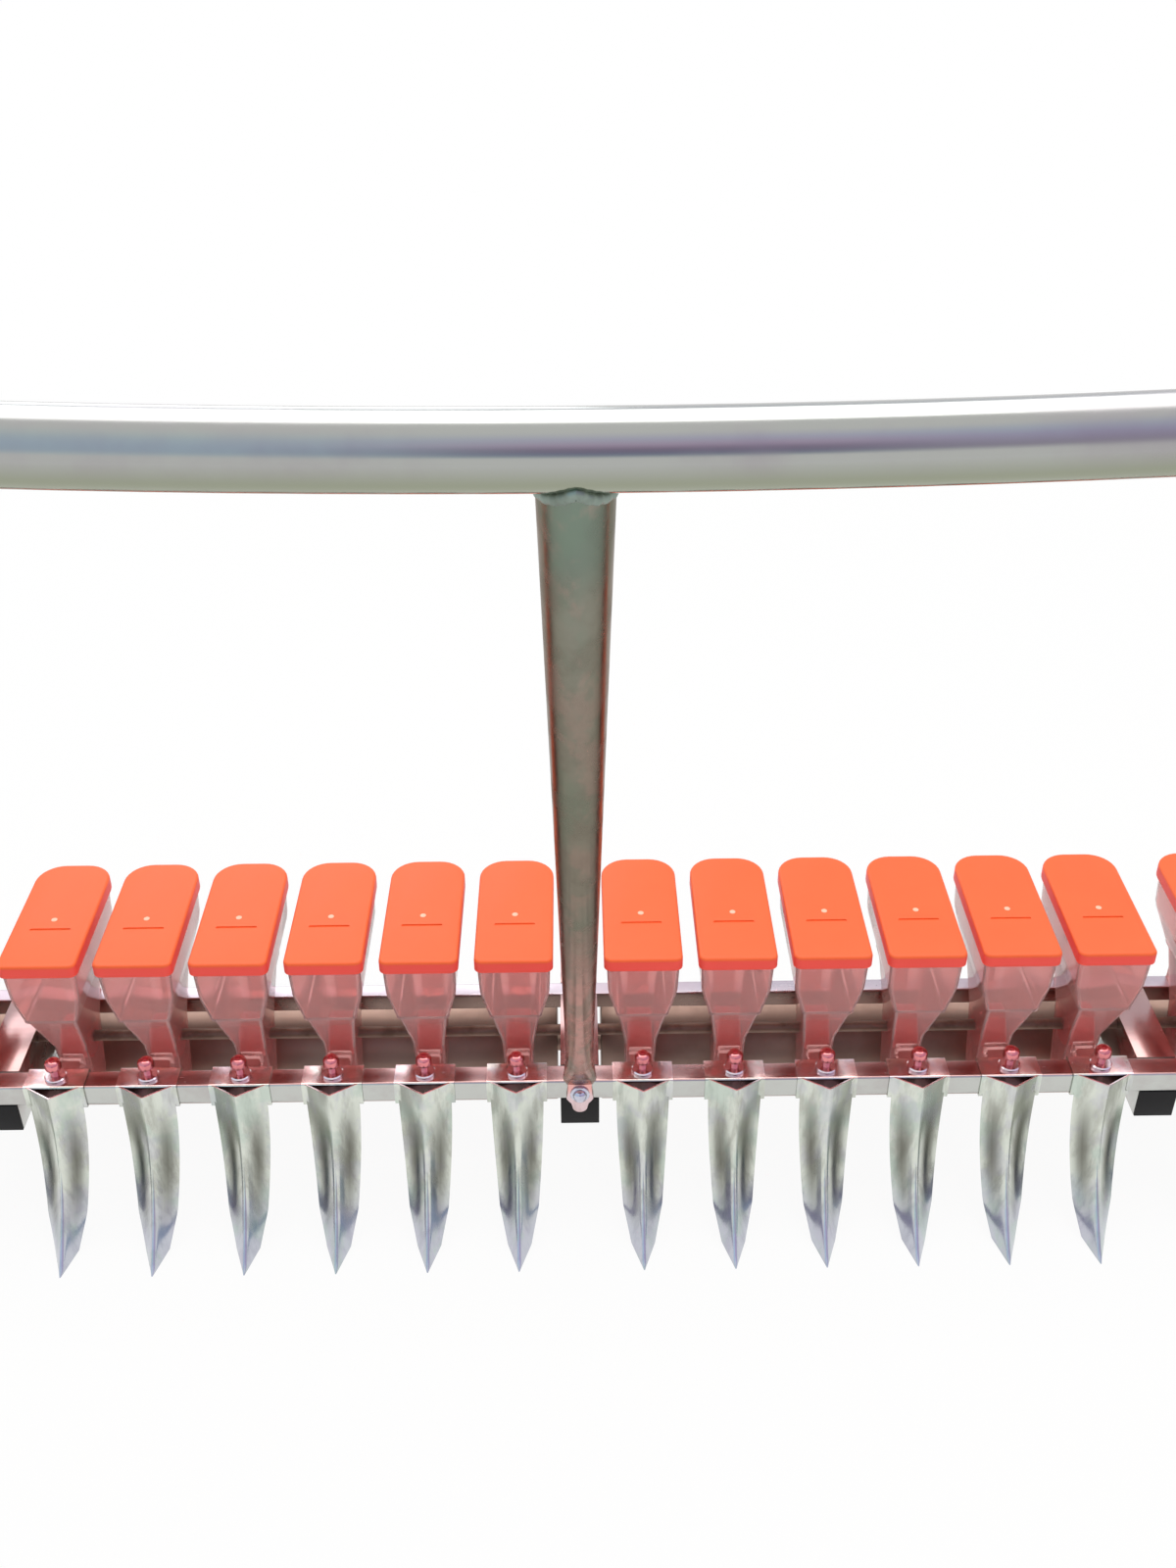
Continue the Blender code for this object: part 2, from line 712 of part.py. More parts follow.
# Hopper: thin moulded shell from the rim down to the outlet, open at both ends
def hopper_levels():
    front = lid_front + lid_wall + seat_gap
    rear = lid_rear - lid_wall - seat_gap
    rim = lid_half_width - lid_wall - seat_gap
    corner_f, corner_r = lid_front_corner - lid_wall, lid_rear_corner - lid_wall
    lower_corners = (housing_front_corner, housing_rear_corner)
    return [
        (rim, front, rear, corner_f, corner_r, lid_top - lid_wall - seat_gap),
        (rim - wall_side_draft, front + wall_front_draft, rear - wall_rear_draft, corner_f, corner_r,
         bar_top + wall_foot_height),
        (ledge_half_width, front + ledge_front_step, shaft_y + ledge_rear, ledge_front_corner,
         ledge_rear_corner, bar_top + ledge_height),
        (housing_half_width, housing_front, roller_rear + housing_rear_room, *lower_corners, throat_z),
        (outlet_half_width, shaft_y - outlet_half_depth, shaft_y + outlet_half_depth, *lower_corners,
         outlet_height),
    ]


def inner_level(level):
    wall = hopper_wall
    half, front, rear, corner_f, corner_r, z = level
    corners = (max(corner_f - wall, 0.001), max(corner_r - wall, 0.002))
    return (half - wall, front + wall, rear - wall, *corners, z)


def hopper_mesh():
    levels = hopper_levels()
    outer = [tray_outline(*level) for level in levels]
    inner_levels = [inner_level(level) for level in levels]
    half, front, rear, corner_f, corner_r, z = inner_levels[2]
    inner_levels[2] = (half - ledge_thickening, front + ledge_thickening, rear - ledge_thickening,
                       corner_f, corner_r, z + ledge_thickening)
    inner = [tray_outline(*level) for level in inner_levels]
    shell = loft(list(reversed(outer)) + inner, ring_closed=True)

    # Foot on the rear bar, up to the middle of the wall above it
    foot_front = rear_bar_front + foot_inset
    foot_rear = rear_bar_front + rear_bar_size - foot_inset

    def wall_middle(y):
        # Height of the middle of the funnel's rear wall at this depth
        low, high = (levels[2], levels[1]) if y > levels[2][2] else (levels[3], levels[2])
        share = (y + hopper_wall / 2 - low[2]) / (high[2] - low[2])
        return mix(low[5], high[5], share)

    bend = levels[2][2]
    foot_outline = [(foot_front, bar_top + seat_gap), (foot_rear, bar_top + seat_gap)]
    if foot_rear > bend:
        foot_outline.append((foot_rear, wall_middle(foot_rear) + hopper_wall / 2))
        foot_outline.append((bend - hopper_wall / 2, levels[2][5] + hopper_wall / 4))
    else:
        foot_outline.append((foot_rear, min(wall_middle(foot_rear), levels[2][5])))
    foot_outline.append((foot_front, min(wall_middle(foot_front), levels[2][5])))
    foot = side_prism(foot_outline, -foot_half_width, foot_half_width)

    # Lug between the housing and the opener's sleeve on the front bar
    lug_front = bar_size + 2 * seat_gap + sleeve_wall
    lug_top = throat_z - lug_drop
    lug = box((-foot_half_width, lug_front, lug_top - lug_height),
              (foot_half_width, housing_front + hopper_wall, lug_top))

    # Ears that hold the lid's hinge barrel
    ears = []
    wall_y = levels[0][2]
    ear_inner = barrel_half_width + seat_gap
    ear_top = skirt_bottom - seat_gap
    ear_outline = [(wall_y - hopper_wall / 2, skirt_bottom - ear_root),
                   (hinge_y + ear_reach, hinge_z - ear_reach),
                   (hinge_y + ear_reach, hinge_z + ear_reach / 2),
                   (hinge_y + ear_reach / 2, hinge_z + ear_reach),
                   (hinge_y - ear_reach / 2, hinge_z + ear_reach),
                   (hinge_y - ear_reach, ear_top), (wall_y - hopper_wall / 2, ear_top)]
    past = ear_inner + ear_thickness + cut_margin
    pin_bore = rod("X", (0, hinge_y, hinge_z), bore_radius(pin_radius, pin_sides), -past, past, pin_sides)
    for side in (-1, 1):
        x0, x1 = side * ear_inner, side * (ear_inner + ear_thickness)
        ears.append(side_prism(ear_outline, min(x0, x1), max(x0, x1)))

    past = housing_half_width + cut_margin
    shaft_bore = rod("X", (0, shaft_y, shaft_z), bore_radius(shaft_radius, shaft_sides), -past, past,
                     shaft_sides)
    return combined(shell, added=[foot, lug] + ears, removed=[shaft_bore, pin_bore])


# Lid: a shallow moulded cap with a hinge barrel behind it
def lid_mesh():
    def outline(grow, z):
        return tray_outline(lid_half_width + grow, lid_front - grow, lid_rear + grow,
                            lid_front_corner + grow, lid_rear_corner + grow, z)

    inner = -lid_wall
    shell = loft([outline(inner, lid_top - lid_wall), outline(inner, skirt_bottom), outline(0, skirt_bottom),
                  outline(0, lid_top - lid_edge), outline(-lid_edge, lid_top)])
    pin_half = barrel_half_width + seat_gap + ear_thickness
    pin = rod("X", (0, hinge_y, hinge_z), pin_radius, -pin_half, pin_half, pin_sides)
    barrel = box((-barrel_half_width, lid_rear - lid_wall / 2, hinge_z - barrel_radius),
                 (barrel_half_width, hinge_y + barrel_radius, skirt_bottom + barrel_rise))
    return moved(combined(shell, added=[barrel, pin]), (0, -hinge_y, -hinge_z))


# Handle: one tube flattened at its foot and welded to a slightly bowed crossbar
def handle_section(along, half_width, half_thickness, sides=tube_sides):
    # An ellipse square to the post; along is the distance up the leaning post
    foot = Vector((0, -seat_gap - flat_half_thickness, bar_top))
    head = Vector((0, grip_bar_y, grip_bar_z))
    lean = (head - foot).normalized()
    across = Vector((1, 0, 0))
    outward = across.cross(lean)
    centre = foot + lean * along
    ring = []
    for k in range(sides):
        angle = 2 * math.pi * k / sides
        ring.append(tuple(centre + across * half_width * math.cos(angle)
                          + outward * half_thickness * math.sin(angle)))
    return ring


def crossbar_ring(x, radius, sides=tube_sides):
    rise = grip_bar_rise * (x / grip_bar_half_length) ** 2
    return [(x, grip_bar_y + radius * math.cos(2 * math.pi * k / sides),
             grip_bar_z + rise + radius * math.sin(2 * math.pi * k / sides)) for k in range(sides)]


def handle_mesh():
    length = math.hypot(grip_bar_y + seat_gap + flat_half_thickness, grip_bar_z - bar_top)
    outside = [
        (0.0, tongue_foot_half, flat_half_thickness - neck_change),
        (flat_length, flat_half_width, swell_half_thickness / 2),
        (swell_length, swell_half_width, swell_half_thickness),
        (neck_length, tube_radius + neck_change, tube_radius - neck_change),
        (round_length, tube_radius, tube_radius),
        (length, tube_radius, tube_radius),
    ]
    inside = [(along, width - tube_wall, thickness - tube_wall) for along, width, thickness in outside[2:]]
    start = (bore_start, mix(flat_half_width, swell_half_width, 0.5) - tube_wall, flat_half_thickness)
    post = loft([handle_section(*section) for section in outside])
    bore = loft([handle_section(*section) for section in [start] + inside])
    stations = [-1, -0.6, 0, 0.6, 1]
    crossbar = loft([crossbar_ring(s * grip_bar_half_length, tube_radius) for s in stations])
    reach = grip_bar_half_length + cut_margin
    crossbar_bore = loft([crossbar_ring(s * reach, tube_radius - tube_wall) for s in stations])

    # Flat tongue on the bar's face, with a round tab at its end
    face = -seat_gap
    tongue_front = face - 2 * flat_half_thickness
    tab_z = bar_top - tab_drop
    outline = [(tongue_top_half, bar_top + tongue_rise), (tongue_waist_half, bar_top - tongue_waist_drop),
               (tongue_foot_half, bar_top - tongue_foot_drop), (tab_neck_half, bar_top - tab_neck_drop)]
    for k in range(7):
        angle = math.radians(-30 * k)
        outline.append((tab_radius * math.cos(angle), tab_z + tab_radius * math.sin(angle)))
    outline += [(-x, z) for x, z in outline[3::-1]]
    tongue = loft([[(x, y, z) for x, z in outline] for y in (face, tongue_front)])
    bolt_bore = rod("Y", (0, 0, bar_top - handle_bolt_drop), bore_radius(handle_bolt_radius, bolt_sides),
                    tongue_front - cut_margin, cut_margin, bolt_sides)
    return moved(combined(post, added=[crossbar, tongue], removed=[bore, crossbar_bore, bolt_bore]),
                 (0, 0, -(bar_top - handle_bolt_drop)))


def handle_bolt_mesh():
    # Flanged head in front of the tongue, shank through tongue and bar, nut behind
    front = -2 * seat_gap - 2 * flat_half_thickness
    back = bar_size + seat_gap
    profile = [(front - bolt_head_length, bolt_dome_radius), (front - bolt_shoulder, bolt_rim_radius),
               (front - bolt_flange, bolt_rim_radius), (front - bolt_flange, bolt_flange_radius),
               (front, bolt_flange_radius), (front, handle_bolt_radius),
               (back, handle_bolt_radius), (back, bolt_rim_radius), (back + bolt_nut_length, bolt_rim_radius)]
    return plain(turned(profile, bolt_sides, "Y", (0, 0, bar_top - handle_bolt_drop)))


def grip_cap_mesh(side):
    inner = tube_radius - tube_wall - seat_gap
    end = grip_bar_half_length + seat_gap
    rings = []
    for x, radius in ((end - cap_spigot, inner), (end, inner), (end, tube_radius),
                      (end + cap_length - cap_edge_length, tube_radius),
                      (end + cap_length, tube_radius - cap_edge_inset)):
        rise = grip_bar_rise * (min(x, grip_bar_half_length) / grip_bar_half_length) ** 2
        rings.append([(side * x, grip_bar_y + radius * math.cos(2 * math.pi * k / tube_sides),
                       grip_bar_z + rise + radius * math.sin(2 * math.pi * k / tube_sides))
                      for k in range(tube_sides)])
    return plain(loft(rings))


def build():
    steel = make_material("brushed_steel", (0.62, 0.63, 0.62), 0.28, 1.0)
    polished = make_material("polished_steel", (0.70, 0.71, 0.72), 0.14, 1.0)
    blade_steel = make_material("folded_blade_steel", (0.64, 0.66, 0.65), 0.24, 1.0)
    drum_steel = make_material("drum_steel", (0.66, 0.66, 0.66), 0.22, 1.0)
    black = make_material("black_plastic", (0.012, 0.012, 0.012), 0.5)
    clear = make_material("clear_hopper_plastic", (0.86, 0.80, 0.80), 0.12, 0.0, 0.45)
    orange = make_material("orange_lid_plastic", (0.93, 0.20, 0.09), 0.38)
    red = make_material("red_roller_plastic", (0.72, 0.05, 0.05), 0.4)
    chain_steel = make_material("chain_steel", (0.35, 0.35, 0.35), 0.4, 1.0)
    guard_steel = make_material("guard_steel", (0.60, 0.61, 0.61), 0.3, 1.0)

    place("front_bar", front_bar_mesh(), steel)
    place("rear_bar", rear_bar_mesh(), steel)
    member, plug = member_mesh(), plug_mesh()
    for name, x in zip(("left", "centre", "right"), member_positions):
        place(name + "_member", member, steel, (x, 0, 0))
        place(name + "_member_plug", plug, black, (x, 0, 0))

    place("press_drum", drum_mesh(), drum_steel, (0, drum_y, drum_z))
    place("seed_shaft", seed_shaft_mesh(), red, (0, shaft_y, shaft_z))
    drum_wheel = place("drum_sprocket", sprocket_mesh(drum_teeth, axle_radius, bearing_sides), chain_steel,
                       (chain_x, drum_y, drum_z))
    drum_wheel.rotation_euler = (sprocket_turn(True), 0, 0)
    shaft_wheel = place("shaft_sprocket", sprocket_mesh(shaft_teeth, shaft_radius, shaft_sides), chain_steel,
                        (chain_x, shaft_y, shaft_z))
    shaft_wheel.rotation_euler = (sprocket_turn(False), 0, 0)
    place("drive_chain", chain_mesh(), chain_steel)
    place("chain_guard", guard_mesh(), guard_steel)

    opener, hopper, lid = opener_mesh(), hopper_mesh(), lid_mesh()
    for number, x in enumerate(rows, 1):
        place("opener_%02d" % number, opener, blade_steel, (x, 0, 0))
        place("hopper_%02d" % number, hopper, clear, (x, 0, 0))
        place("lid_%02d" % number, lid, orange, (x, hinge_y, hinge_z))

    place("pull_handle", handle_mesh(), polished, (0, 0, bar_top - handle_bolt_drop))
    place("handle_bolt", handle_bolt_mesh(), polished)
    place("left_handle_cap", grip_cap_mesh(-1), black)
    place("right_handle_cap", grip_cap_mesh(1), black)


clear_scene()
machine = bpy.data.objects.new("machine_origin", None)
bpy.context.scene.collection.objects.link(machine)
front_reach = grip_bar_y - tube_radius
guard_reach = drum_y + wheel_radius(drum_teeth) + chain_plate_height / 2 + guard_room + guard_sheet
rear_reach = max(drum_y + drum_radius, member_rear, guard_reach)
machine.location = (0, -(front_reach + rear_reach) / 2, 0)
build()
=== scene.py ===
import json
import math

import bmesh
import bpy
from mathutils import Matrix, Vector


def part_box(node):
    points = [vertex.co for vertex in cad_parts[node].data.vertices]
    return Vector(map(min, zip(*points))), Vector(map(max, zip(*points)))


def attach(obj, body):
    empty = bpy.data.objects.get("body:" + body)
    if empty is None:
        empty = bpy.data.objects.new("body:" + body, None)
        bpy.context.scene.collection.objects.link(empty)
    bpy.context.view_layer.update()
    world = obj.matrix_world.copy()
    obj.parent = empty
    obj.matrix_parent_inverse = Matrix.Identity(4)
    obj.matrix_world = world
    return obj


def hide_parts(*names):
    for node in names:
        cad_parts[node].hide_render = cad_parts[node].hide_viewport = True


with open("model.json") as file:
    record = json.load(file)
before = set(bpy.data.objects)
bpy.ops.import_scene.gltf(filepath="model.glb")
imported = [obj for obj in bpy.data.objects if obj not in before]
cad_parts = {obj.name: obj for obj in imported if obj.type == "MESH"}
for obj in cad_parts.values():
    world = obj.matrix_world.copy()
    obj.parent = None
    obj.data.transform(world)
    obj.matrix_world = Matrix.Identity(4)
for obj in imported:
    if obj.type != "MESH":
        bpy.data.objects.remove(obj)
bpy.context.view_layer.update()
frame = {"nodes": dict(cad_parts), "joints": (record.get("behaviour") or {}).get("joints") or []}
print("frame loaded:", len(frame["nodes"]), "nodes")

rowCount = 14


def rowNames(kind):
    return ["%s_%02d" % (kind, number) for number in range(1, rowCount + 1)]


# Places taken from the frame; a middle is (y, z)
barLow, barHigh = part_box("front_bar")
faceY, barTop, barSize = barLow.y, barHigh.z, barHigh.z - barLow.z
barMiddle = (faceY + barSize / 2, barTop - barSize / 2)
rearLow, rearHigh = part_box("rear_bar")
rearSize = rearHigh.z - rearLow.z
rearMiddle = (rearLow.y + rearSize / 2, rearHigh.z - rearSize / 2)
rowX = [(low.x + high.x) / 2 for low, high in map(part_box, rowNames("opener"))]
jointPlace = {joint["name"]: Vector(joint["pos_m"]) for joint in frame["joints"] if "pos_m" in joint}
drumAxis = jointPlace["drum_spin"]
seedAxis = jointPlace["seed_shaft_spin"]
hingeAxis = jointPlace["lid_01_hinge"]
swivelAxis = jointPlace["handle_swivel"]
chainLow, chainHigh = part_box("drive_chain")
chainX = (chainLow.x + chainHigh.x) / 2
guardLow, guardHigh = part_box("chain_guard")
drumLow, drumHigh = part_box("press_drum")
shaftLow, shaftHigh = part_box("seed_shaft")
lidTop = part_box("lid_01")[1].z


# Camera: where the photograph was taken from
view = {"lens": 36.0, "sensor": 36.0, "down": 33.355, "right": 0.551, "roll": 0.330, "x": -0.0011,
        "toFace": 1.1789, "height": 1.3160, "clip": (0.05, 120.0)}


def makeCamera():
    data = bpy.data.cameras.new("photoCamera")
    data.lens, data.sensor_width = view["lens"], view["sensor"]
    data.clip_start, data.clip_end = view["clip"]
    camera = bpy.data.objects.new("photoCamera", data)
    bpy.context.scene.collection.objects.link(camera)
    turn = (Matrix.Rotation(math.radians(-view["right"]), 4, "Z")
            @ Matrix.Rotation(math.radians(90 - view["down"]), 4, "X")
            @ Matrix.Rotation(math.radians(-view["roll"]), 4, "Z"))
    camera.matrix_world = Matrix.Translation((view["x"], faceY - view["toFace"], view["height"])) @ turn
    bpy.context.scene.camera = camera


makeCamera()
print("camera placed")


# Node helpers: an input takes a link, a number, a colour or a vector
def feed(tree, socket, value):
    if isinstance(value, bpy.types.NodeSocket):
        tree.links.new(value, socket)
    elif socket.type == "RGBA":
        socket.default_value = (*value, 1.0)
    else:
        socket.default_value = value


def addNode(tree, kind, **values):
    # Values are properties, or inputs whose spaces are written as underscores
    node = tree.nodes.new(kind)
    for key, value in values.items():
        if hasattr(node, key):
            setattr(node, key, value)
        else:
            feed(tree, node.inputs[key.replace("_", " ")], value)
    return node


def newGroup(name, kind, inputs, outputs):
    # inputs and outputs name the sockets of each kind
    tree = bpy.data.node_groups.new(name, kind)
    for side, sockets in (("INPUT", inputs), ("OUTPUT", outputs)):
        for socketKind, labels in sockets.items():
            for label in labels:
                tree.interface.new_socket(label, in_out=side, socket_type="NodeSocket" + socketKind)
    return tree, tree.nodes.new("NodeGroupInput").outputs, tree.nodes.new("NodeGroupOutput").inputs


def mathStep(tree, operation, *values):
    node = addNode(tree, "ShaderNodeMath", operation=operation)
    for socket, value in zip(node.inputs, values):
        feed(tree, socket, value)
    return node.outputs[0]


def times(tree, first, second):
    return mathStep(tree, "MULTIPLY", first, second)


def plus(tree, first, second):
    return mathStep(tree, "ADD", first, second)


def noise(tree, place, scale, detail, roughness=0.5):
    return addNode(tree, "ShaderNodeTexNoise", Vector=place, Scale=scale, Detail=detail,
                   Roughness=roughness).outputs["Fac"]


def smoothShare(tree, value, low, high, least=0.0):
    # Rises smoothly to 1 between two values, which may also fall
    return addNode(tree, "ShaderNodeMapRange", interpolation_type="SMOOTHSTEP", Value=value, From_Min=low,
                   From_Max=high, To_Min=least).outputs["Result"]


def colorMix(tree, share, first, second):
    node = addNode(tree, "ShaderNodeMix", data_type="RGBA")
    for index, value in ((0, share), (6, first), (7, second)):
        feed(tree, node.inputs[index], value)
    return node.outputs[2]


def shaderMix(tree, share, first, second):
    node = addNode(tree, "ShaderNodeMixShader")
    for socket, value in zip(node.inputs, (share, first, second)):
        feed(tree, socket, value)
    return node.outputs[0]


# Noises are (detail, roughness); an edge is the noise values where a spot begins and is full
effects = {"streakNoise": (3.0, 0.6), "markNoise": (5.0, 0.62), "markEdge": (0.42, 0.66), "markDulls": 0.10,
           "markRise": 0.5, "flowScale": 17.0, "flowNoise": (4.0, 0.55), "flowDulls": 0.12,
           "patchNoise": (4.0, 0.6), "patchEdge": (0.48, 0.62), "dentDetail": 1.5, "dentDepth": 0.004,
           "metalBump": 0.0005, "plasticBump": 0.0003}


# Shared effects: both put out a colour, a roughness and a height
def effectGroup(name, inputs):
    return newGroup(name, "ShaderNodeTree", inputs, {"Color": ["Color"], "Float": ["Roughness", "Height"]})


def putOut(tree, made, color, roughness, height):
    for label, value in (("Color", color), ("Roughness", roughness), ("Height", height)):
        tree.links.new(value, made[label])


def drawnMetalGroup():
    # Drawn metal with soft streaks, handling marks and a little unevenness
    tree, given, made = effectGroup("drawnMetal", {
        "Vector": ["Streak Vector", "Surface Vector"], "Color": ["Clean Color", "Marked Color"],
        "Float": ["Roughness", "Streaks", "Marks", "Mark Scale"]})
    streak = noise(tree, given["Streak Vector"], 1.0, *effects["streakNoise"])
    mark = noise(tree, given["Surface Vector"], given["Mark Scale"], *effects["markNoise"])
    spread = smoothShare(tree, mark, *effects["markEdge"])
    tone = colorMix(tree, times(tree, spread, given["Marks"]), given["Clean Color"], given["Marked Color"])
    rough = plus(tree, times(tree, streak, given["Streaks"]), times(tree, spread, effects["markDulls"]))
    height = plus(tree, streak, times(tree, mark, effects["markRise"]))
    putOut(tree, made, tone, plus(tree, rough, given["Roughness"]), height)
    return tree


def mouldedGroup():
    # Moulded plastic with a faint flow pattern and dulled patches
    tree, given, made = effectGroup("mouldedPlastic", {
        "Vector": ["Surface Vector"], "Color": ["Color", "Dulled Color"],
        "Float": ["Roughness", "Patches", "Grain Scale"]})
    flow = noise(tree, given["Surface Vector"], effects["flowScale"], *effects["flowNoise"])
    grain = noise(tree, given["Surface Vector"], given["Grain Scale"], 1.0)
    tone = colorMix(tree, times(tree, flow, given["Patches"]), given["Color"], given["Dulled Color"])
    rough = plus(tree, times(tree, flow, effects["flowDulls"]), given["Roughness"])
    putOut(tree, made, tone, rough, grain)
    return tree


drawnMetal = drawnMetalGroup()
mouldedPlastic = mouldedGroup()
even = (1.0, 1.0, 1.0)


def stretched(tree, place, scale):
    return addNode(tree, "ShaderNodeMapping", Vector=place, Scale=scale).outputs["Vector"]


def makeMaterial(name, group, groupInputs, stretches, shaderInputs, finish):
    # tints are (height of none, height of full, share, colour), patches (scale, stretch, share, colour)
    # and shades (attribute, share, colour) of painted shade and painted highlights; dents are (strength,
    # scale)
    material = bpy.data.materials.new(name)
    material.use_nodes = True
    material.diffuse_color = (*finish["color"], 1.0)
    tree = material.node_tree
    shader = tree.nodes["Principled BSDF"].inputs
    place = addNode(tree, "ShaderNodeTexCoord").outputs["Object"]
    effect = addNode(tree, "ShaderNodeGroup", node_tree=group)
    for label, stretch in stretches.items():
        feed(tree, effect.inputs[label], stretched(tree, place, stretch))
    for label, value in groupInputs.items():
        feed(tree, effect.inputs[label], value)
    color = effect.outputs["Color"]
    height = addNode(tree, "ShaderNodeSeparateXYZ", Vector=place).outputs["Z"]
    for none, full, share, tint in finish.get("tints", ()):
        color = colorMix(tree, times(tree, smoothShare(tree, height, none, full), share), color, tint)
    for scale, stretch, share, tint in finish.get("patches", ()):
        pattern = noise(tree, stretched(tree, place, stretch), scale, *effects["patchNoise"])
        spots = smoothShare(tree, pattern, *effects["patchEdge"])
        color = colorMix(tree, times(tree, spots, share), color, tint)
    # Painted shade and painted highlights, read from painted attributes
    for attribute, share, tint in finish.get("shades", ()):
        painted = addNode(tree, "ShaderNodeAttribute", attribute_name=attribute).outputs["Fac"]
        color = colorMix(tree, times(tree, painted, share), color, tint)
    bump = addNode(tree, "ShaderNodeBump", Strength=finish["bump"], Distance=finish["bumpDepth"],
                   Height=effect.outputs["Height"])
    if "dents" in finish:
        strength, scale = finish["dents"]
        dents = noise(tree, place, scale, effects["dentDetail"])
        bump = addNode(tree, "ShaderNodeBump", Strength=strength, Distance=effects["dentDepth"],
                       Height=dents, Normal=bump.outputs["Normal"])
    for label, value in {"Base Color": color, "Roughness": effect.outputs["Roughness"],
                         "Normal": bump.outputs["Normal"], **shaderInputs}.items():
        feed(tree, shader[label], value)
    return material


def metalMaterial(name, color, marked, roughness, streaks=0.06, marks=0.5, markScale=80.0, markStretch=even,
                  streakScale=(300.0, 300.0, 300.0), bump=0.05, edgeTint=even, **finish):
    finish.update(color=color, bump=bump, bumpDepth=effects["metalBump"])
    return makeMaterial(
        name, drawnMetal, {"Clean Color": color, "Marked Color": marked, "Roughness": roughness,
                           "Streaks": streaks, "Marks": marks, "Mark Scale": markScale},
        {"Streak Vector": streakScale, "Surface Vector": markStretch},
        {"Metallic": 1.0, "Specular Tint": edgeTint}, finish)


def plasticMaterial(name, color, dulled, roughness, grainScale, bump, patches=0.5, clear=0.0, ior=1.5,
                    specular=0.5, glow=0.0, **finish):
    finish.update(color=color, bump=bump, bumpDepth=effects["plasticBump"])
    return makeMaterial(
        name, mouldedPlastic, {"Color": color, "Dulled Color": dulled, "Roughness": roughness,
                               "Patches": patches, "Grain Scale": grainScale}, {"Surface Vector": even},
        {"Metallic": 0.0, "Transmission Weight": clear, "IOR": ior, "Specular IOR Level": specular,
         "Subsurface Weight": glow, "Subsurface Radius": (0.004, 0.0015, 0.001)}, finish)


# Red on the bars' top faces is a painted reflection of the lids
barSteel = metalMaterial(
    "barSteel", (0.55, 0.56, 0.53), (0.44, 0.38, 0.38), 0.12, streaks=0.12, markScale=11.0, bump=0.08,
    streakScale=(2.0, 260.0, 260.0), tints=[(barTop - 0.0012, barTop - 0.0003, 0.75, (0.45, 0.22, 0.21))])
# Dark brown on the rear bar's front face is painted shade
rearSteel = metalMaterial(
    "rearSteel", (0.60, 0.52, 0.56), (0.48, 0.38, 0.42), 0.20, streaks=0.12, markScale=11.0, bump=0.08,
    streakScale=(2.0, 260.0, 260.0), shades=[("ahead", 0.92, (0.20, 0.125, 0.095))])
# Painted light on the blades: blue towards the tips is a painted reflection of the sky, red on the sleeve
# tops a painted reflection of the lids, hollow a painted dark reflection, inside painted shade and rim a
# painted highlight
bladeSteel = metalMaterial(
    "bladeSteel", (0.69, 0.72, 0.645), (0.38, 0.38, 0.33), 0.13, streaks=0.08, marks=0.55, markScale=1.0,
    markStretch=(75.0, 75.0, 17.0), streakScale=(120.0, 120.0, 9.0), bump=0.10, dents=(0.16, 22.0),
    tints=[(0.070, 0.015, 0.62, (0.45, 0.46, 0.60)),
           (barTop + 0.0012, barTop + 0.0020, 0.50, (0.92, 0.42, 0.44))],
    patches=[(26.0, (1.0, 1.0, 0.7), 0.50, (0.45, 0.56, 0.49)),
             (37.0, (1.0, 1.0, 0.7), 0.35, (0.52, 0.50, 0.60))],
    shades=[("hollow", 0.82, (0.085, 0.080, 0.060)), ("inside", 0.96, (0.13, 0.040, 0.055)),
            ("rim", 0.95, (0.96, 0.86, 0.86))])
# The olive lower half of the crossbar is painted shade
crossbarSteel = metalMaterial(
    "crossbarSteel", (0.41, 0.42, 0.40), (0.37, 0.34, 0.36), 0.11, streaks=0.10, marks=0.55, markScale=13.0,
    streakScale=(9.0, 90.0, 90.0), dents=(0.012, 16.0), shades=[("under", 1.0, (0.31, 0.33, 0.25))])
# Red on the lower post is a painted reflection of the lids
postSteel = metalMaterial(
    "postSteel", (0.27, 0.28, 0.235), (0.20, 0.195, 0.160), 0.15, streaks=0.08, markScale=1.0,
    markStretch=(60.0, 30.0, 22.0), streakScale=(90.0, 9.0, 6.0), bump=0.02, dents=(0.014, 16.0),
    edgeTint=(0.52, 0.45, 0.41),
    tints=[(1.075, 1.105, 0.7, (0.17, 0.24, 0.20)), (0.760, 0.500, 0.95, (0.86, 0.44, 0.41)),
           (barTop - 0.004, barTop - 0.018, 0.85, (0.74, 0.60, 0.63))],
    patches=[(42.0, (1.0, 0.5, 0.22), 0.45, (0.20, 0.28, 0.22)),
             (63.0, (1.0, 0.5, 0.22), 0.42, (0.42, 0.31, 0.27))])
drumSteel = metalMaterial(
    "drumSteel", (0.34, 0.230, 0.185), (0.24, 0.155, 0.122), 0.36, streaks=0.16, marks=0.6, markScale=9.0,
    streakScale=(3.0, 160.0, 160.0), dents=(0.03, 10.0))
sheetSteel = metalMaterial(
    "sheetSteel", (0.52, 0.53, 0.52), (0.42, 0.40, 0.38), 0.22, streaks=0.15, marks=0.3, markScale=12.0,
    streakScale=(4.0, 220.0, 4.0), bump=0.08)
weldSteel = metalMaterial(
    "weldSteel", (0.27, 0.33, 0.29), (0.19, 0.22, 0.18), 0.34, streaks=0.2, marks=0.7, markScale=60.0,
    streakScale=(60.0, 60.0, 60.0), bump=0.15)
